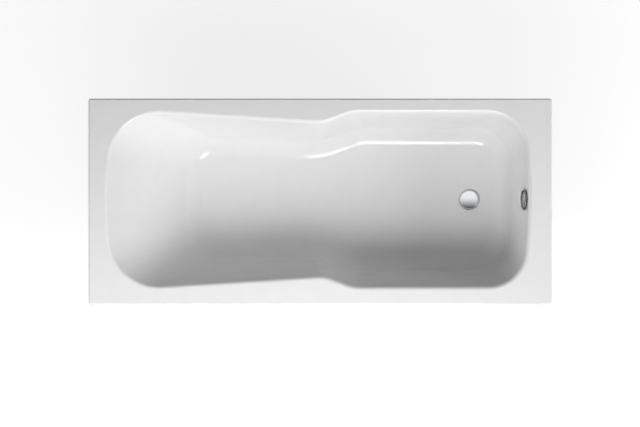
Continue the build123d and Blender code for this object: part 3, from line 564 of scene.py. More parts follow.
def soften(piece, width, segments=2, angle=30):
    """Rounds a piece's sharp edges a little."""
    return with_modifier(piece, "BEVEL", width=width, segments=segments, limit_method="ANGLE",
                         angle_limit=math.radians(angle), use_clamp_overlap=True)


def round_the_axis(piece, count):
    """Copies a piece round the upright axis and joins the copies into one."""
    copies = [piece]
    for i in range(1, count):
        another = piece.copy()
        another.data = piece.data.copy()
        another.matrix_world = Matrix.Rotation(2 * math.pi * i / count, 4, "Z") @ piece.matrix_world
        bpy.context.scene.collection.objects.link(another)
        copies.append(another)
    pick(piece)
    for another in copies:
        another.select_set(True)
    bpy.ops.object.join()
    return piece


def set_down(piece, name, material, body, nodes, place=Matrix(), smooth=35):
    """Puts a finished piece in its place on a body, with its name and finish, in the stead of its nodes."""
    pick(piece)
    piece.matrix_world = place @ piece.matrix_world
    bpy.ops.object.transform_apply(location=True, rotation=True, scale=True)
    bpy.ops.object.shade_smooth_by_angle(angle=math.radians(smooth))
    piece.name = name
    piece.data.materials.clear()
    piece.data.materials.append(material)
    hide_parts(*nodes)
    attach(piece, body)
    return piece


def finish_nodes(material, *names):
    """Gives nodes of the frame whose shape is right their material."""
    for name in names:
        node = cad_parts[name]
        node.data.materials.clear()
        node.data.materials.append(material)


def heights(name):
    """The lowest and the highest z of a node."""
    return [corner.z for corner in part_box(name)]


def middle_of(name):
    """The middle of a node in plan, as a place at height 0."""
    low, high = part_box(name)
    return Vector(((low.x + high.x) / 2, (low.y + high.y) / 2, 0))


def marked_metal(name, low_colour, high_colour, mark, gloss_low, gloss_high, detail=5, distortion=1.5):
    """Bare or plated metal with faint marks of a given size in its tone and gloss."""
    material, tree, shader = new_material(name, Metallic=1)
    place = add_node(tree, "ShaderNodeTexCoord")
    marks = add_node(tree, "ShaderNodeTexNoise", Vector=place.outputs["Object"], Scale=1 / mark,
                     Detail=detail, Distortion=distortion)
    tone = add_node(tree, "ShaderNodeMixRGB", Fac=marks.outputs["Fac"], Color1=linear(low_colour),
                    Color2=linear(high_colour))
    gloss = add_node(tree, "ShaderNodeMapRange", Value=marks.outputs["Fac"], To_Min=gloss_low,
                     To_Max=gloss_high)
    put_on(tree, shader, Base_Color=tone.outputs["Color"], Roughness=gloss.outputs["Result"])
    return material


# Polished chrome, plated on brass over nickel, gives a bright, slightly blue mirror. Faint wiping marks
# show in it as small changes of gloss.
chrome = marked_metal("polished_chrome", "E2E4E6", "F2F3F4", 7 * mm, 0.16, 0.24)

# The waste flange is turned and chromed brass, screwed down in the recess of the floor onto a flat rubber
# ring.
finish_nodes(chrome, "waste_flange")

# Moulded rubber of the seals, gaskets and bedding pads. It gives a matt black that greys where talc and dust
# stay in its pores, with the fine pits of the mould.
rubber, tree, shader = new_material("moulded_rubber", IOR=1.52)
place = add_node(tree, "ShaderNodeTexCoord")
bloom = add_node(tree, "ShaderNodeTexNoise", Vector=place.outputs["Object"], Scale=1 / (9 * mm), Detail=6,
                 Roughness=0.65)
tone = add_node(tree, "ShaderNodeMixRGB", Fac=bloom.outputs["Fac"], Color1=linear("17181A"),
                Color2=linear("3A3B3D"))
gloss = add_node(tree, "ShaderNodeMapRange", Value=bloom.outputs["Fac"], To_Min=0.55, To_Max=0.85)
pits = add_node(tree, "ShaderNodeTexNoise", Vector=place.outputs["Object"], Scale=1 / (0.6 * mm), Detail=2)
relief = add_node(tree, "ShaderNodeBump", Height=pits.outputs["Fac"], Strength=1, Distance=0.03 * mm)
put_on(tree, shader, Base_Color=tone.outputs["Color"], Roughness=gloss.outputs["Result"],
       Normal=relief.outputs["Normal"])
finish_nodes(rubber, "waste_flat_gasket", "waste_lower_gasket", "trap_seal", "outlet_seal", "plug_seal",
             "overflow_gasket", "overflow_pipe_seals", "rail_beddings")


def moulded_plastic(name, low_colour, high_colour, grain, gloss_low, gloss_high):
    """Moulded plastic, with a tone mottled by the melt's flow, a spark-eroded grain and rounded arrises."""
    material, tree, shader = new_material(name, IOR=1.49)
    place = add_node(tree, "ShaderNodeTexCoord")
    flow = add_node(tree, "ShaderNodeTexNoise", Vector=place.outputs["Object"], Scale=1 / (30 * mm), Detail=4,
                    Distortion=0.8)
    tone = add_node(tree, "ShaderNodeMixRGB", Fac=flow.outputs["Fac"], Color1=linear(low_colour),
                    Color2=linear(high_colour))
    gloss = add_node(tree, "ShaderNodeMapRange", Value=flow.outputs["Fac"], To_Min=gloss_low,
                     To_Max=gloss_high)
    skin = add_node(tree, "ShaderNodeTexNoise", Vector=place.outputs["Object"], Scale=1 / grain, Detail=2)
    arris = add_node(tree, "ShaderNodeBevel", {"samples": 6}, Radius=0.7 * mm)
    relief = add_node(tree, "ShaderNodeBump", Height=skin.outputs["Fac"], Strength=1, Distance=0.04 * mm,
                      Normal=arris.outputs["Normal"])
    put_on(tree, shader, Base_Color=tone.outputs["Color"], Roughness=gloss.outputs["Result"],
           Normal=relief.outputs["Normal"])
    return material


# The waste body hangs under the floor, drawn up by the flange's throat: a low chamber of white polypropylene
# with the guide for the plug, the inlets for the overflow pipe and the cable, and the dip tube. Moulded
# polypropylene gives a soft, slightly waxy white with a fine grain.
polypropylene = moulded_plastic("moulded_polypropylene", "D9D9D4", "EAEAE6", 0.9 * mm, 0.34, 0.5)
finish_nodes(polypropylene, "waste_body", "outlet_pipe", "overflow_body", "overflow_pipe", "rocker")

# The trap's cup screws up over the dip tube and holds the water that shuts off the drain's air. It is moulded
# polypropylene with a rounded bottom, a grip of upright ribs round its top, and the outlet's socket on its
# back.
cup_radius = 51 * mm
cup_wall = 4 * mm
cup_round = 16 * mm
cup_dip = 2.5 * mm
grip_height = 20 * mm
grip_out = 2.6 * mm
grip_ribs = 30
outlet_bore = 20.3 * mm
outlet_wall = 3.5 * mm
outlet_reach = 32 * mm

cup_low, cup_high = heights("trap_cup")
outlet_z = cup_high - 27 * mm
waste_place = middle_of("plug_cap")
section = [complex(0, cup_low + cup_dip), complex(0.45 * cup_radius, cup_low + cup_dip),
           complex(0.5 * cup_radius, cup_low)]
section += arc_points(complex(cup_radius - cup_round, cup_low + cup_round), cup_round, -90, 0, 9)
section += [complex(cup_radius, cup_high - grip_height - 2 * mm),
            complex(cup_radius + 0.5 * mm, cup_high - grip_height),
            complex(cup_radius + 0.5 * mm, cup_high - 1 * mm), complex(cup_radius - 0.5 * mm, cup_high),
            complex(cup_radius - cup_wall, cup_high), complex(cup_radius - cup_wall, cup_low + cup_round)]
section += arc_points(complex(cup_radius - cup_round, cup_low + cup_round), cup_round - cup_wall, -10, -90, 6)
section += [complex(0, cup_low + cup_wall + cup_dip)]
cup = lathe(section)
rib_width = 2.4 * mm
bpy.ops.object.select_all(action="DESELECT")
bpy.ops.mesh.primitive_cube_add(size=1, location=(cup_radius, 0, cup_high - 1.5 * mm - grip_height / 2),
                                scale=(2 * grip_out, rib_width, grip_height - 4 * mm))
rib = with_modifier(bpy.context.object, "BEVEL", width=0.7 * mm, segments=2)
combine(cup, round_the_axis(rib, grip_ribs), "UNION")
socket = lathe([complex(outlet_bore, 0.6 * cup_radius), complex(outlet_bore + outlet_wall, 0.6 * cup_radius),
                complex(outlet_bore + outlet_wall, cup_radius + outlet_reach),
                complex(outlet_bore, cup_radius + outlet_reach), complex(outlet_bore, 0.6 * cup_radius)], 64)
socket.matrix_world = Matrix.Translation((0, 0, outlet_z)) @ Matrix.Rotation(-math.pi / 2, 4, "X")
combine(cup, socket, "UNION")
set_down(cup, "trap_cup_ribbed", polypropylene, "bath", ["trap_cup"],
         Matrix.Translation(waste_place))

# Union nuts of black-grey polyamide draw each pipe's seal onto its socket. They are moulded with a ring of
# upright grip ribs and a lip that turns in behind the seal. Glass-filled polyamide gives a dull dark grey.
polyamide = moulded_plastic("moulded_polyamide", "3C3E40", "4C4F51", 0.7 * mm, 0.42, 0.6)
nut_length = 23 * mm
nut_wall = 4 * mm
nut_ribs = 24


def union_nut(inner):
    """A ribbed nut on the Z axis with its lip at the top, for a socket of a given outer radius."""
    outer = inner + nut_wall
    bore = inner - outlet_wall
    nut = lathe([complex(inner, 0), complex(outer - 0.8 * mm, 0), complex(outer, 0.8 * mm),
                 complex(outer, nut_length - 2.5 * mm), complex(outer - 2.5 * mm, nut_length),
                 complex(bore, nut_length), complex(bore, nut_length - 3 * mm),
                 complex(inner, nut_length - 3 * mm), complex(inner, 0)], 72)
    bpy.ops.object.select_all(action="DESELECT")
    bpy.ops.mesh.primitive_cube_add(size=1, location=(outer, 0, nut_length / 2 - 1 * mm),
                                    scale=(2.2 * mm, 2 * mm, nut_length - 6 * mm))
    rib = with_modifier(bpy.context.object, "BEVEL", width=0.6 * mm, segments=2)
    return combine(nut, round_the_axis(rib, nut_ribs), "UNION")


def facing(origin, direction):
    """A place whose Z axis points in a direction."""
    return Matrix.Translation(origin) @ Vector(direction).to_track_quat("Z", "Y").to_matrix().to_4x4()


outlet_nut_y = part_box("outlet_nut")[0].y
set_down(union_nut(outlet_bore + outlet_wall), "outlet_nut_ribbed", polyamide, "bath",
         ["outlet_nut"], facing((waste_place.x, outlet_nut_y, outlet_z), (0, 1, 0)))

# The plug is a thin dome of brass, chromed all over, that hides the waste. Its edge is rolled down round a
# hollow, and it screws on a brass stem that carries the rubber seal.
plug_low, plug_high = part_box("plug_cap")
plug_radius = (plug_high.x - plug_low.x) / 2
plug_wall = 2 * mm
crown_radius = 130 * mm
shoulder = 7.5 * mm
crown_centre = complex(0, plug_high.z - crown_radius)
shoulder_place = complex(plug_radius - shoulder, 0)
shoulder_rise = math.sqrt((crown_radius - shoulder) ** 2 - shoulder_place.real ** 2)
shoulder_place += 1j * (crown_centre.imag + shoulder_rise)
meet = math.degrees(math.atan2(shoulder_place.imag - crown_centre.imag, shoulder_place.real))
section = arc_points(crown_centre, crown_radius, 90, meet, 16)
section += arc_points(shoulder_place, shoulder, meet, 0, 14)[1:]
section += [complex(plug_radius, plug_low.z + 0.5 * mm), complex(plug_radius - 0.5 * mm, plug_low.z),
            complex(plug_radius - plug_wall, plug_low.z),
            complex(plug_radius - plug_wall, shoulder_place.imag)]
section += arc_points(shoulder_place, shoulder - plug_wall, 0, meet, 6)[1:]
section += arc_points(crown_centre, crown_radius - plug_wall, meet, 90, 8)[1:]
cap = lathe(section, 128)
set_down(cap, "plug_dome", chrome, "plug", ["plug_cap"], Matrix.Translation(waste_place))

# Turned brass of the plug's stem and nut. It gives a warm yellow metal with the fine rings that the tool
# left.
brass, tree, shader = new_material("turned_brass", Metallic=1)
place = add_node(tree, "ShaderNodeTexCoord")
centred = add_node(tree, "ShaderNodeMapping", Vector=place.outputs["Object"], Location=-waste_place)
rings = add_node(tree, "ShaderNodeTexWave", {"bands_direction": "Z"}, Vector=centred.outputs["Vector"],
                 Scale=1 / (2.4 * mm), Distortion=0.6, Detail=2)
stain = add_node(tree, "ShaderNodeTexNoise", Vector=place.outputs["Object"], Scale=1 / (6 * mm), Detail=4)
tone = add_node(tree, "ShaderNodeMixRGB", Fac=stain.outputs["Fac"], Color1=linear("B8955A"),
                Color2=linear("D9BE83"))
gloss = add_node(tree, "ShaderNodeMapRange", Value=stain.outputs["Fac"], To_Min=0.22, To_Max=0.4)
relief = add_node(tree, "ShaderNodeBump", Height=rings.outputs["Fac"], Strength=1, Distance=0.02 * mm)
put_on(tree, shader, Base_Color=tone.outputs["Color"], Roughness=gloss.outputs["Result"],
       Normal=relief.outputs["Normal"])
finish_nodes(brass, "plug_stem", "plug_nut")

# The overflow sits in its hole in the end wall, with an elbow moulded of polypropylene behind the steel. A
# black disc and two screws clamp the wall against the elbow's rubber ring.
overflow_frame = Matrix.Translation(overflow_place) @ Matrix.Rotation(overflow_turn, 4, "Y")

# Black polypropylene of the overflow's disc, the cable's sheath and the feet gives a deep, even satin black.
black_plastic = moulded_plastic("moulded_black_plastic", "101112", "1E1F20", 0.8 * mm, 0.34, 0.5)
finish_nodes(black_plastic, "overflow_face", "cable_sheath")

# The rosette is turned by hand to lift the plug. It is pressed brass in polished chrome, with a rolled rim
# that stands off the wall round a shallow dish. Its chrome is painted dark grey as a painted reflection of
# dark surroundings, and the dish a lighter grey as a painted, brighter reflection.
chrome_painted_dark_reflection = marked_metal("chrome_painted_dark_reflection", "6E7073", "7C7E81", 6 * mm, 0.12, 0.2)
chrome_painted_light_reflection = marked_metal("chrome_painted_light_reflection", "ABADB0", "BDBFC1", 6 * mm, 0.12, 0.2)
knob_radius = 41 * mm
knob_low = 3.5 * mm
knob_high = 10.5 * mm
roll = 3.2 * mm
dish_radius = 34 * mm
dish_depth = 2.6 * mm
knob_wall = 2.5 * mm
boss_radius = 9 * mm
dish_ball = 260 * mm
dish_centre = complex(0, knob_high - dish_depth - dish_ball)
dish_meet = math.degrees(math.acos((dish_radius - 1 * mm) / dish_ball))
section = arc_points(dish_centre, dish_ball, 90, dish_meet, 10)
section += arc_points(complex(knob_radius - roll, knob_high - roll), roll, 150, 0, 14)
section += [complex(knob_radius, knob_low + 0.4 * mm), complex(knob_radius - 0.4 * mm, knob_low),
            complex(knob_radius - knob_wall, knob_low),
            complex(knob_radius - knob_wall, knob_high - dish_depth - knob_wall),
            complex(boss_radius, knob_high - dish_depth - knob_wall), complex(boss_radius, knob_low),
            complex(0, knob_low)]
knob = lathe(section, 128)
set_down(knob, "overflow_rosette", chrome_painted_dark_reflection, "knob", ["overflow_knob"], overflow_frame)
knob.data.materials.append(chrome_painted_light_reflection)
# The dish's faces take the lighter painted reflection, and the rest of the rosette keeps the dark painted
# reflection.
for face in knob.data.polygons:
    from_middle = overflow_frame.inverted() @ face.center
    in_dish = math.hypot(from_middle.x, from_middle.y) < dish_radius
    if in_dish and from_middle.z > knob_high - dish_depth - 1.5 * mm:
        face.material_index = 1

# Drawn stainless steel of the shaft, the wires, the pin and the screws gives a clean grey metal with fine
# lines.
stainless = marked_metal("drawn_stainless_steel", "A9ABAD", "C8C9CA", 0.8 * mm, 0.25, 0.42, 3, 0.5)
finish_nodes(stainless, "knob_shaft", "overflow_screws", "rocker_pin", "cable_wire_upper", "cable_wire_lower")

# The overflow's water runs down a bent polypropylene pipe to the waste body, drawn tight at both ends by
# ribbed union nuts. Polyamide clips hold the cable's sheath beside it.
finish_nodes(polyamide, "cable_clips")
pipe_socket = 19.8 * mm
pipe_behind = 43 * mm
lip_over = 5 * mm
upper_mouth = 62 * mm
lower_mouth = 83 * mm
inlet_z = 146 * mm
upper_nut = overflow_frame @ Matrix.Translation((nut_length - lip_over - upper_mouth, 0, -pipe_behind))
upper_nut @= Matrix.Rotation(-math.pi / 2, 4, "Y")
lower_nut = facing(waste_place + Vector((lower_mouth + lip_over - nut_length, 0, inlet_z)), (1, 0, 0))


def copy_of(piece):
    """A copy of a piece with a mesh of its own."""
    another = piece.copy()
    another.data = piece.data.copy()
    bpy.context.scene.collection.objects.link(another)
    return another


nut = union_nut(pipe_socket)
again = copy_of(nut)
set_down(nut, "overflow_pipe_nut_upper", polyamide, "bath", ["overflow_pipe_nuts"], upper_nut)
set_down(again, "overflow_pipe_nut_lower", polyamide, "bath", ["overflow_pipe_nuts"],
         lower_nut)

# Two channels of galvanised steel cross under the floor and carry the feet. Hot-dip zinc gives a grey metal
# with spangles of 6 to 10 mm, each a little lighter or darker, and a dull bloom in places.
galvanised, tree, shader = new_material("hot_dip_galvanised_steel", Metallic=1)
place = add_node(tree, "ShaderNodeTexCoord")
bent = add_node(tree, "ShaderNodeTexNoise", Vector=place.outputs["Object"], Scale=1 / (12 * mm), Detail=2)
shifted = add_node(tree, "ShaderNodeVectorMath", {"operation": "MULTIPLY_ADD"}, i0=bent.outputs["Color"],
                   i1=(4 * mm, 4 * mm, 4 * mm), i2=place.outputs["Object"])
spangle = add_node(tree, "ShaderNodeTexVoronoi", Vector=shifted.outputs["Vector"], Scale=1 / (8 * mm))
shade = add_node(tree, "ShaderNodeSeparateColor", Color=spangle.outputs["Color"])
tone = add_node(tree, "ShaderNodeMixRGB", Fac=shade.outputs["Red"], Color1=linear("8F9598"),
                Color2=linear("BEC3C6"))
bloom = add_node(tree, "ShaderNodeTexNoise", Vector=place.outputs["Object"], Scale=1 / (40 * mm), Detail=4)
gloss = add_node(tree, "ShaderNodeMapRange", Value=shade.outputs["Green"], To_Min=0.28, To_Max=0.5)
dull = add_node(tree, "ShaderNodeMath", {"operation": "MULTIPLY_ADD"}, i0=bloom.outputs["Fac"], i1=0.25,
                i2=gloss.outputs["Result"])
arris = add_node(tree, "ShaderNodeBevel", {"samples": 6}, Radius=0.6 * mm)
relief = add_node(tree, "ShaderNodeBump", Height=shade.outputs["Red"], Strength=0.4, Distance=0.02 * mm,
                  Normal=arris.outputs["Normal"])
put_on(tree, shader, Base_Color=tone.outputs["Color"], Roughness=dull.outputs["Value"],
       Normal=relief.outputs["Normal"])
finish_nodes(galvanised, "head_rail", "drain_rail", "rail_bushes")

# Zinc plating of the studs, stems, nuts and washers. It gives a bright, slightly blue metal, with a faint
# yellow and violet bloom from its passivation.
zinc, tree, shader = new_material("passivated_zinc_plating", Metallic=1)
place = add_node(tree, "ShaderNodeTexCoord")
bloom = add_node(tree, "ShaderNodeTexNoise", Vector=place.outputs["Object"], Scale=1 / (11 * mm), Detail=4,
                 Distortion=0.8)
cool = add_node(tree, "ShaderNodeMixRGB", Fac=bloom.outputs["Fac"], Color1=linear("A3AAB4"),
                Color2=linear("C9CBC8"))
film = add_node(tree, "ShaderNodeTexNoise", Vector=place.outputs["Object"], Scale=1 / (5 * mm), Detail=2)
warm_share = add_node(tree, "ShaderNodeMapRange", Value=film.outputs["Fac"], From_Min=0.5, From_Max=0.8,
                      To_Min=0, To_Max=0.5)
tone = add_node(tree, "ShaderNodeMixRGB", Fac=warm_share.outputs["Result"], Color1=cool.outputs["Color"],
                Color2=linear("C8BD9A"))
gloss = add_node(tree, "ShaderNodeMapRange", Value=bloom.outputs["Fac"], To_Min=0.2, To_Max=0.38)
put_on(tree, shader, Base_Color=tone.outputs["Color"], Roughness=gloss.outputs["Result"])


def cut_off(place, direction):
    """Cuts off what lies past a plane of the mesh in hand, and closes the cut."""
    bpy.ops.mesh.select_all(action="SELECT")
    bpy.ops.mesh.bisect(plane_co=place, plane_no=direction, use_fill=True, clear_outer=True)


def threaded(radius, pitch, low, high):
    """A rod with a rolled thread on the Z axis: one tooth is screwed up the rod, and cut off at both ends."""
    root = radius - 0.6 * pitch
    tooth = [complex(root, 0), complex(root, 0.12 * pitch), complex(radius, 0.5 * pitch),
             complex(radius, 0.62 * pitch), complex(root, pitch)]
    bpy.ops.object.select_all(action="DESELECT")
    bpy.ops.mesh.primitive_plane_add(size=mm)
    rod = bpy.context.object
    bpy.ops.object.mode_set(mode="EDIT")
    bpy.ops.mesh.merge(type="CENTER")
    bpy.ops.transform.translate(value=(root, 0, low - pitch))
    for start, end in zip(tooth, tooth[1:]):
        step = (end.real - start.real, 0, end.imag - start.imag)
        bpy.ops.mesh.extrude_region_move(TRANSFORM_OT_translate={"value": step})
    bpy.ops.object.mode_set(mode="OBJECT")
    with_modifier(rod, "SCREW", axis="Z", steps=20, render_steps=20, screw_offset=pitch,
                  iterations=math.ceil((high - low) / pitch) + 2)
    bpy.ops.object.mode_set(mode="EDIT")
    bpy.ops.mesh.select_all(action="SELECT")
    bpy.ops.mesh.remove_doubles(threshold=0.001 * mm)
    cut_off((0, 0, low), (0, 0, -1))
    cut_off((0, 0, high), (0, 0, 1))
    bpy.ops.mesh.select_all(action="SELECT")
    bpy.ops.mesh.normals_make_consistent(inside=False)
    bpy.ops.object.mode_set(mode="OBJECT")
    return rod


def hexagon(flats, low, high, bore=0):
    """A hexagonal nut or collar on the Z axis, with its corners turned off and its bore countersunk."""
    corner = flats / math.sqrt(3)
    bpy.ops.object.select_all(action="DESELECT")
    bpy.ops.mesh.primitive_cylinder_add(vertices=6, radius=corner, depth=high - low,
                                        location=(0, 0, (low + high) / 2))
    body = bpy.context.object
    turned_off = 0.5 * (corner - flats / 2)
    blank = lathe([complex(0, low), complex(flats / 2, low), complex(corner + 0.1 * mm, low + turned_off),
                   complex(corner + 0.1 * mm, high - turned_off), complex(flats / 2, high),
                   complex(0, high)], 48)
    combine(body, blank, "INTERSECT")
    if bore:
        sink = 0.6 * mm
        drill = lathe([complex(0, low - mm), complex(bore + sink, low - mm), complex(bore + sink, low),
                       complex(bore, low + sink), complex(bore, high - sink), complex(bore + sink, high),
                       complex(bore + sink, high + mm), complex(0, high + mm)], 32)
        combine(body, drill, "DIFFERENCE")
    return soften(body, 0.15 * mm, 2, 25)


# Each rail hangs on two M8 studs welded to the floor, with a zinc-plated washer and nut on each. The washers
# are stamped, with one rounded face.
rail_x = {end: middle_of(f"{end}_rail").x for end in ("head", "drain")}
rail_y = middle_of("head_rail").y
stud_spread = 30 * mm
stud_radius = 4 * mm
stud_pitch = 1.25 * mm
nut_low, nut_high = heights("stud_nuts")
washer_low, washer_high = heights("stud_washers")
stud_low = heights("rail_studs")[0]
web_top = heights("head_rail")[1]
floor_fall_start = 3 * mm

stud = threaded(stud_radius, stud_pitch, stud_low, web_top + floor_fall_start)
nut = hexagon(13 * mm, nut_low, nut_high, stud_radius)
washer = lathe([complex(stud_radius + 0.05 * mm, washer_low + 0.3 * mm),
                complex(stud_radius + 0.35 * mm, washer_low),
                complex(7.6 * mm, washer_low), complex(8 * mm, washer_low + 0.4 * mm),
                complex(8 * mm, washer_high), complex(stud_radius + 0.05 * mm, washer_high),
                complex(stud_radius + 0.05 * mm, washer_low + 0.3 * mm)], 64)
for end, x in rail_x.items():
    for side, way in (("front", -1), ("back", 1)):
        place = Matrix.Translation((x, rail_y + way * stud_spread, 0))
        set_down(copy_of(stud), f"stud_{end}_{side}", zinc, "bath", ["rail_studs"], place)
        set_down(copy_of(nut), f"stud_nut_{end}_{side}", zinc, "bath", ["stud_nuts"], place)
        set_down(copy_of(washer), f"washer_{end}_{side}", zinc, "bath", ["stud_washers"], place)
for pattern in (stud, nut, washer):
    bpy.data.objects.remove(pattern)

# The four feet screw up and down to level the bath. Each has an M10 stem with a pressed hexagon collar,
# locked against the rail's bush by a nut, in a ribbed leg moulded of black plastic on a rubber sole.
stem_radius = 5 * mm
stem_pitch = 1.5 * mm
stem_low, stem_high = heights("foot_stem_head_front")
leg_low, leg_high = heights("foot_leg_head_front")
lock_low, lock_high = heights("lock_nuts")
sole_high = heights("foot_sole_head_front")[1]
collar_height = 8 * mm
collar_flats = 17 * mm
leg_base = 32 * mm
leg_base_height = 6 * mm
leg_tube = 10 * mm
leg_top = 14 * mm
leg_rib = 4 * mm
leg_ribs = 4
sole_radius = 28 * mm

stem = threaded(stem_radius, stem_pitch, leg_high + collar_height - mm, stem_high - mm)
tip = lathe([complex(0, stem_high - 1.5 * mm), complex(stem_radius - 0.9 * mm, stem_high - 1.5 * mm),
             complex(stem_radius - 0.9 * mm, stem_high - 0.8 * mm),
             complex(stem_radius - 1.7 * mm, stem_high),
             complex(0, stem_high)], 32)
shank = lathe([complex(0, stem_low), complex(stem_radius - 1 * mm, stem_low),
               complex(stem_radius, stem_low + mm),
               complex(stem_radius, leg_high + mm), complex(0, leg_high + mm)], 40)
collar = hexagon(collar_flats, leg_high, leg_high + collar_height)
pick(stem)
for piece in (tip, shank, collar):
    piece.select_set(True)
bpy.ops.object.join()

lock_nut = hexagon(collar_flats, lock_low, lock_high, stem_radius + 0.05 * mm)

base_top = leg_low + leg_base_height
leg = lathe([complex(0, sole_high), complex(sole_radius + 0.05 * mm, sole_high),
             complex(sole_radius + 0.05 * mm, leg_low), complex(leg_base - mm, leg_low),
             complex(leg_base, leg_low + mm), complex(leg_base, base_top - 1.5 * mm),
             complex(leg_base - 1.5 * mm, base_top), complex(leg_tube + 2 * mm, base_top),
             complex(leg_tube, base_top + 3 * mm), complex(leg_tube, leg_high - mm),
             complex(leg_tube - mm, leg_high), complex(stem_radius + 0.6 * mm, leg_high),
             complex(stem_radius + 0.05 * mm, leg_high - 0.6 * mm),
             complex(stem_radius + 0.05 * mm, stem_low - mm),
             complex(0, stem_low - mm)], 72)
bpy.ops.object.select_all(action="DESELECT")
bpy.ops.mesh.primitive_cube_add(size=1, location=(leg_base / 2, 0, (base_top + leg_high) / 2),
                                scale=(leg_base, leg_rib, leg_high - base_top + 2 * mm))
rib = bpy.context.object
slope = Vector((leg_high - base_top, 0, leg_base - leg_rib / 2 - leg_top))
bpy.ops.object.mode_set(mode="EDIT")
cut_off((leg_base - leg_rib / 2, 0, base_top), slope)
cut_off((0, 0, leg_high - 0.5 * mm), (0, 0, 1))
cut_off((leg_tube - 2 * mm, 0, 0), (-1, 0, 0))
bpy.ops.object.mode_set(mode="OBJECT")
soften(rib, 0.8 * mm)
rib.matrix_world = Matrix.Rotation(math.pi / leg_ribs, 4, "Z") @ rib.matrix_world
combine(leg, round_the_axis(rib, leg_ribs), "UNION")

# The sole is a rubber disc pressed up into the leg, with three rings of tread cut in its underside.
groove = 1.2 * mm
section = [complex(0, sole_high), complex(sole_radius, sole_high), complex(sole_radius, 0.6 * mm),
           complex(sole_radius - 0.6 * mm, 0)]
for ring in (23 * mm, 16.5 * mm, 10 * mm):
    section += [complex(ring + 1.4 * mm, 0), complex(ring + 0.9 * mm, groove),
                complex(ring - 0.9 * mm, groove), complex(ring - 1.4 * mm, 0)]
sole = lathe(section + [complex(0, 0)], 72)

for end in ("head", "drain"):
    for side in ("front", "back"):
        name = f"{end}_{side}"
        place = Matrix.Translation(middle_of(f"foot_sole_{name}"))
        set_down(copy_of(stem), f"stem_{name}", zinc, f"foot_{name}", [f"foot_stem_{name}"], place)
        set_down(copy_of(leg), f"leg_{name}", black_plastic, f"foot_{name}",
                 [f"foot_leg_{name}"], place)
        set_down(copy_of(sole), f"sole_{name}", rubber, f"foot_{name}", [f"foot_sole_{name}"],
                 place)
        set_down(copy_of(lock_nut), f"lock_nut_{name}", zinc, "bath", ["lock_nuts"], place)
for pattern in (stem, leg, sole, lock_nut):
    bpy.data.objects.remove(pattern)

# Bitumen mats are stuck to the underside of the floor, the side walls and the backrest to deaden the steel.
# They are hot-pressed sheets 3 mm thick with a waffle pattern, and give a dull brown-black with a coarse
# grain.
bitumen, tree, shader = new_material("pressed_bitumen", IOR=1.6)
place = add_node(tree, "ShaderNodeTexCoord")
dust = add_node(tree, "ShaderNodeTexNoise", Vector=place.outputs["Object"], Scale=1 / (25 * mm), Detail=6,
                Roughness=0.6)
tone = add_node(tree, "ShaderNodeMixRGB", Fac=dust.outputs["Fac"], Color1=linear("1E1D1C"),
                Color2=linear("3D3B38"))
gloss = add_node(tree, "ShaderNodeMapRange", Value=dust.outputs["Fac"], To_Min=0.5, To_Max=0.85)
grit = add_node(tree, "ShaderNodeTexNoise", Vector=place.outputs["Object"], Scale=1 / (1.4 * mm), Detail=3)
relief = add_node(tree, "ShaderNodeBump", Height=grit.outputs["Fac"], Strength=1, Distance=0.12 * mm)
put_on(tree, shader, Base_Color=tone.outputs["Color"], Roughness=gloss.outputs["Result"],
       Normal=relief.outputs["Normal"])
mat_thickness = 3 * mm
waffle_depth = 0.9 * mm
waffle_pitch = 20 * mm
waffle_gap = 2.2 * mm


def deadening_mat(length, width):
    """A mat on the XY plane, with its smooth face at height 0 and its waffles below."""
    bpy.ops.object.select_all(action="DESELECT")
    bpy.ops.mesh.primitive_grid_add(x_subdivisions=round(length / waffle_pitch),
                                    y_subdivisions=round(width / waffle_pitch), size=1,
                                    location=(0, 0, waffle_depth - mat_thickness))
    mat = bpy.context.object
    bpy.ops.object.mode_set(mode="EDIT")
    bpy.ops.mesh.select_all(action="SELECT")
    bpy.ops.transform.resize(value=(length, width, 1))
    bpy.ops.mesh.inset(thickness=waffle_gap / 2, use_individual=True)
    bpy.ops.mesh.extrude_faces_move(TRANSFORM_OT_shrink_fatten={"value": 0})
    bpy.ops.transform.translate(value=(0, 0, -waffle_depth))
    bpy.ops.mesh.select_all(action="SELECT")
    bpy.ops.mesh.normals_make_consistent(inside=False)
    bpy.ops.object.mode_set(mode="OBJECT")
    upright = sum(face.normal.z * face.area for face in mat.data.polygons) > 0
    with_modifier(mat, "SOLIDIFY", thickness=mat_thickness - waffle_depth, offset=1 if upright else -1)
    return soften(mat, 0.4 * mm)


def laid(origin, along, across):
    """A place whose X and Y axes lie along two directions, square to each other."""
    x, y = Vector(along).normalized(), Vector(across).normalized()
    return Matrix.Translation(origin) @ Matrix((x, y, x.cross(y))).transposed().to_4x4()


floor_low, floor_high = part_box("floor_mat")
floor_x = (floor_low.x + floor_high.x) / 2
mat = deadening_mat(floor_high.x - floor_low.x, floor_high.y - floor_low.y)
under_floor = floor_z - sheet + floor_fall * (waste_x - floor_x)
set_down(mat, "floor_deadening_mat", bitumen, "bath", ["floor_mat"],
         laid((floor_x, axis_y, under_floor), (1, 0, -floor_fall), (0, 1, 0)))

side_low, side_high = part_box("side_mats")
side_lean = wall_angles["shower"]
side_length = side_high.x - side_low.x
side_width = (side_high.z - side_low.z) / math.cos(side_lean)
below = rim_top - (side_low.z + side_high.z) / 2
wall_y = shower_half - leans["shower"] * below + sheet / math.cos(side_lean)
for side, way in (("front", -1), ("back", 1)):
    mat = deadening_mat(side_length, side_width)
    set_down(mat, f"side_deadening_mat_{side}", bitumen, "bath", ["side_mats"],
             laid(((side_low.x + side_high.x) / 2, axis_y + way * wall_y, rim_top - below), (way, 0, 0),
                  (0, way * math.sin(side_lean), math.cos(side_lean))))

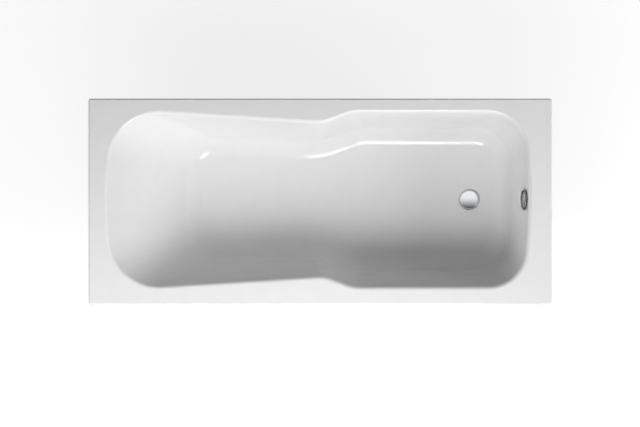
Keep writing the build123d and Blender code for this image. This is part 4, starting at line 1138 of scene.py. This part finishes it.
rest_low, rest_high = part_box("backrest_mat")
rest_lean = wall_angles["head"]
rest_x = (rest_low.x + rest_high.x) / 2
rest_below = (rest_x - head_x + sheet / math.cos(rest_lean)) / leans["head"]
mat = deadening_mat((rest_high.x - rest_low.x) / math.sin(rest_lean), rest_high.y - rest_low.y)
set_down(mat, "backrest_deadening_mat", bitumen, "bath", ["backrest_mat"],
         laid((rest_x, axis_y, rim_top - rest_below), (math.sin(rest_lean), 0, -math.cos(rest_lean)),
              (0, 1, 0)))
for vertex in mat.data.vertices:
    vertex.co.x += head_bow - math.sqrt(head_bow ** 2 - (vertex.co.y - axis_y) ** 2)

# The earthing tab is a strip of zinc-plated steel, spot-welded twice to the inside of the folded edge. Its
# free end hangs below the edge, with the hole for the earth wire's screw.
lug_low, lug_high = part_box("earth_lug")
lug_middle = (lug_low + lug_high) / 2
lug_hole = 3.3 * mm
lug_hole_z = lug_low.z + 11 * mm
lug_corner = 5 * mm
weld_radius = 6 * mm
weld_depth = 0.5 * mm
weld_apart = 14 * mm
weld_below = 9 * mm
bpy.ops.object.select_all(action="DESELECT")
bpy.ops.mesh.primitive_cube_add(size=1, location=lug_middle, scale=lug_high - lug_low)
tab = bpy.context.object
bpy.ops.object.mode_set(mode="EDIT")
bpy.ops.mesh.select_all(action="DESELECT")
bpy.ops.mesh.select_mode(type="EDGE")
tab_edges = bmesh.from_edit_mesh(tab.data)
for edge in tab_edges.edges:
    first, second = (tab.matrix_world @ vertex.co for vertex in edge.verts)
    edge.select = abs(first.x - second.x) > mm and first.z < lug_middle.z
bmesh.update_edit_mesh(tab.data)
bpy.ops.mesh.bevel(offset=lug_corner, segments=6)
bpy.ops.mesh.select_mode(type="VERT")
bpy.ops.object.mode_set(mode="OBJECT")
bpy.ops.object.select_all(action="DESELECT")
bpy.ops.mesh.primitive_cylinder_add(vertices=40, radius=lug_hole, depth=20 * mm, rotation=(0, math.pi / 2, 0),
                                    location=(lug_middle.x, lug_middle.y, lug_hole_z))
combine(tab, bpy.context.object, "DIFFERENCE")
for side in (-1, 1):
    bpy.ops.object.select_all(action="DESELECT")
    bpy.ops.mesh.primitive_uv_sphere_add(segments=32, ring_count=24, radius=weld_radius,
                                         location=(lug_low.x + weld_depth - weld_radius,
                                                   lug_middle.y + side * weld_apart / 2,
                                                   lug_high.z - weld_below))
    combine(tab, bpy.context.object, "DIFFERENCE")
soften(tab, 0.3 * mm)
set_down(tab, "earthing_tab", zinc, "bath", ["earth_lug"])

# The small box isn't seen in the plug's dome, and a stronger twin of it lights the rosette alone.
def lit_pieces(name, lamp, state, *pieces):
    """Keeps a lamp to some pieces, or off them."""
    receivers = bpy.data.collections.new(name)
    lamp.light_linking.receiver_collection = receivers
    for piece in pieces:
        receivers.objects.link(piece)
    for member in receivers.collection_objects:
        member.light_linking.link_state = state


glint_share = 8
small_box = bpy.data.objects["small_box"]
glint_box = small_box.copy()
glint_box.data = small_box.data.copy()
glint_box.name = "glint_box"
glint_box.data.energy = glint_share * small_box.data.energy
bpy.context.scene.collection.objects.link(glint_box)
lit_pieces("not_in_the_dome", small_box, "EXCLUDE", cap)
lit_pieces("rosette_only", glint_box, "INCLUDE", knob)
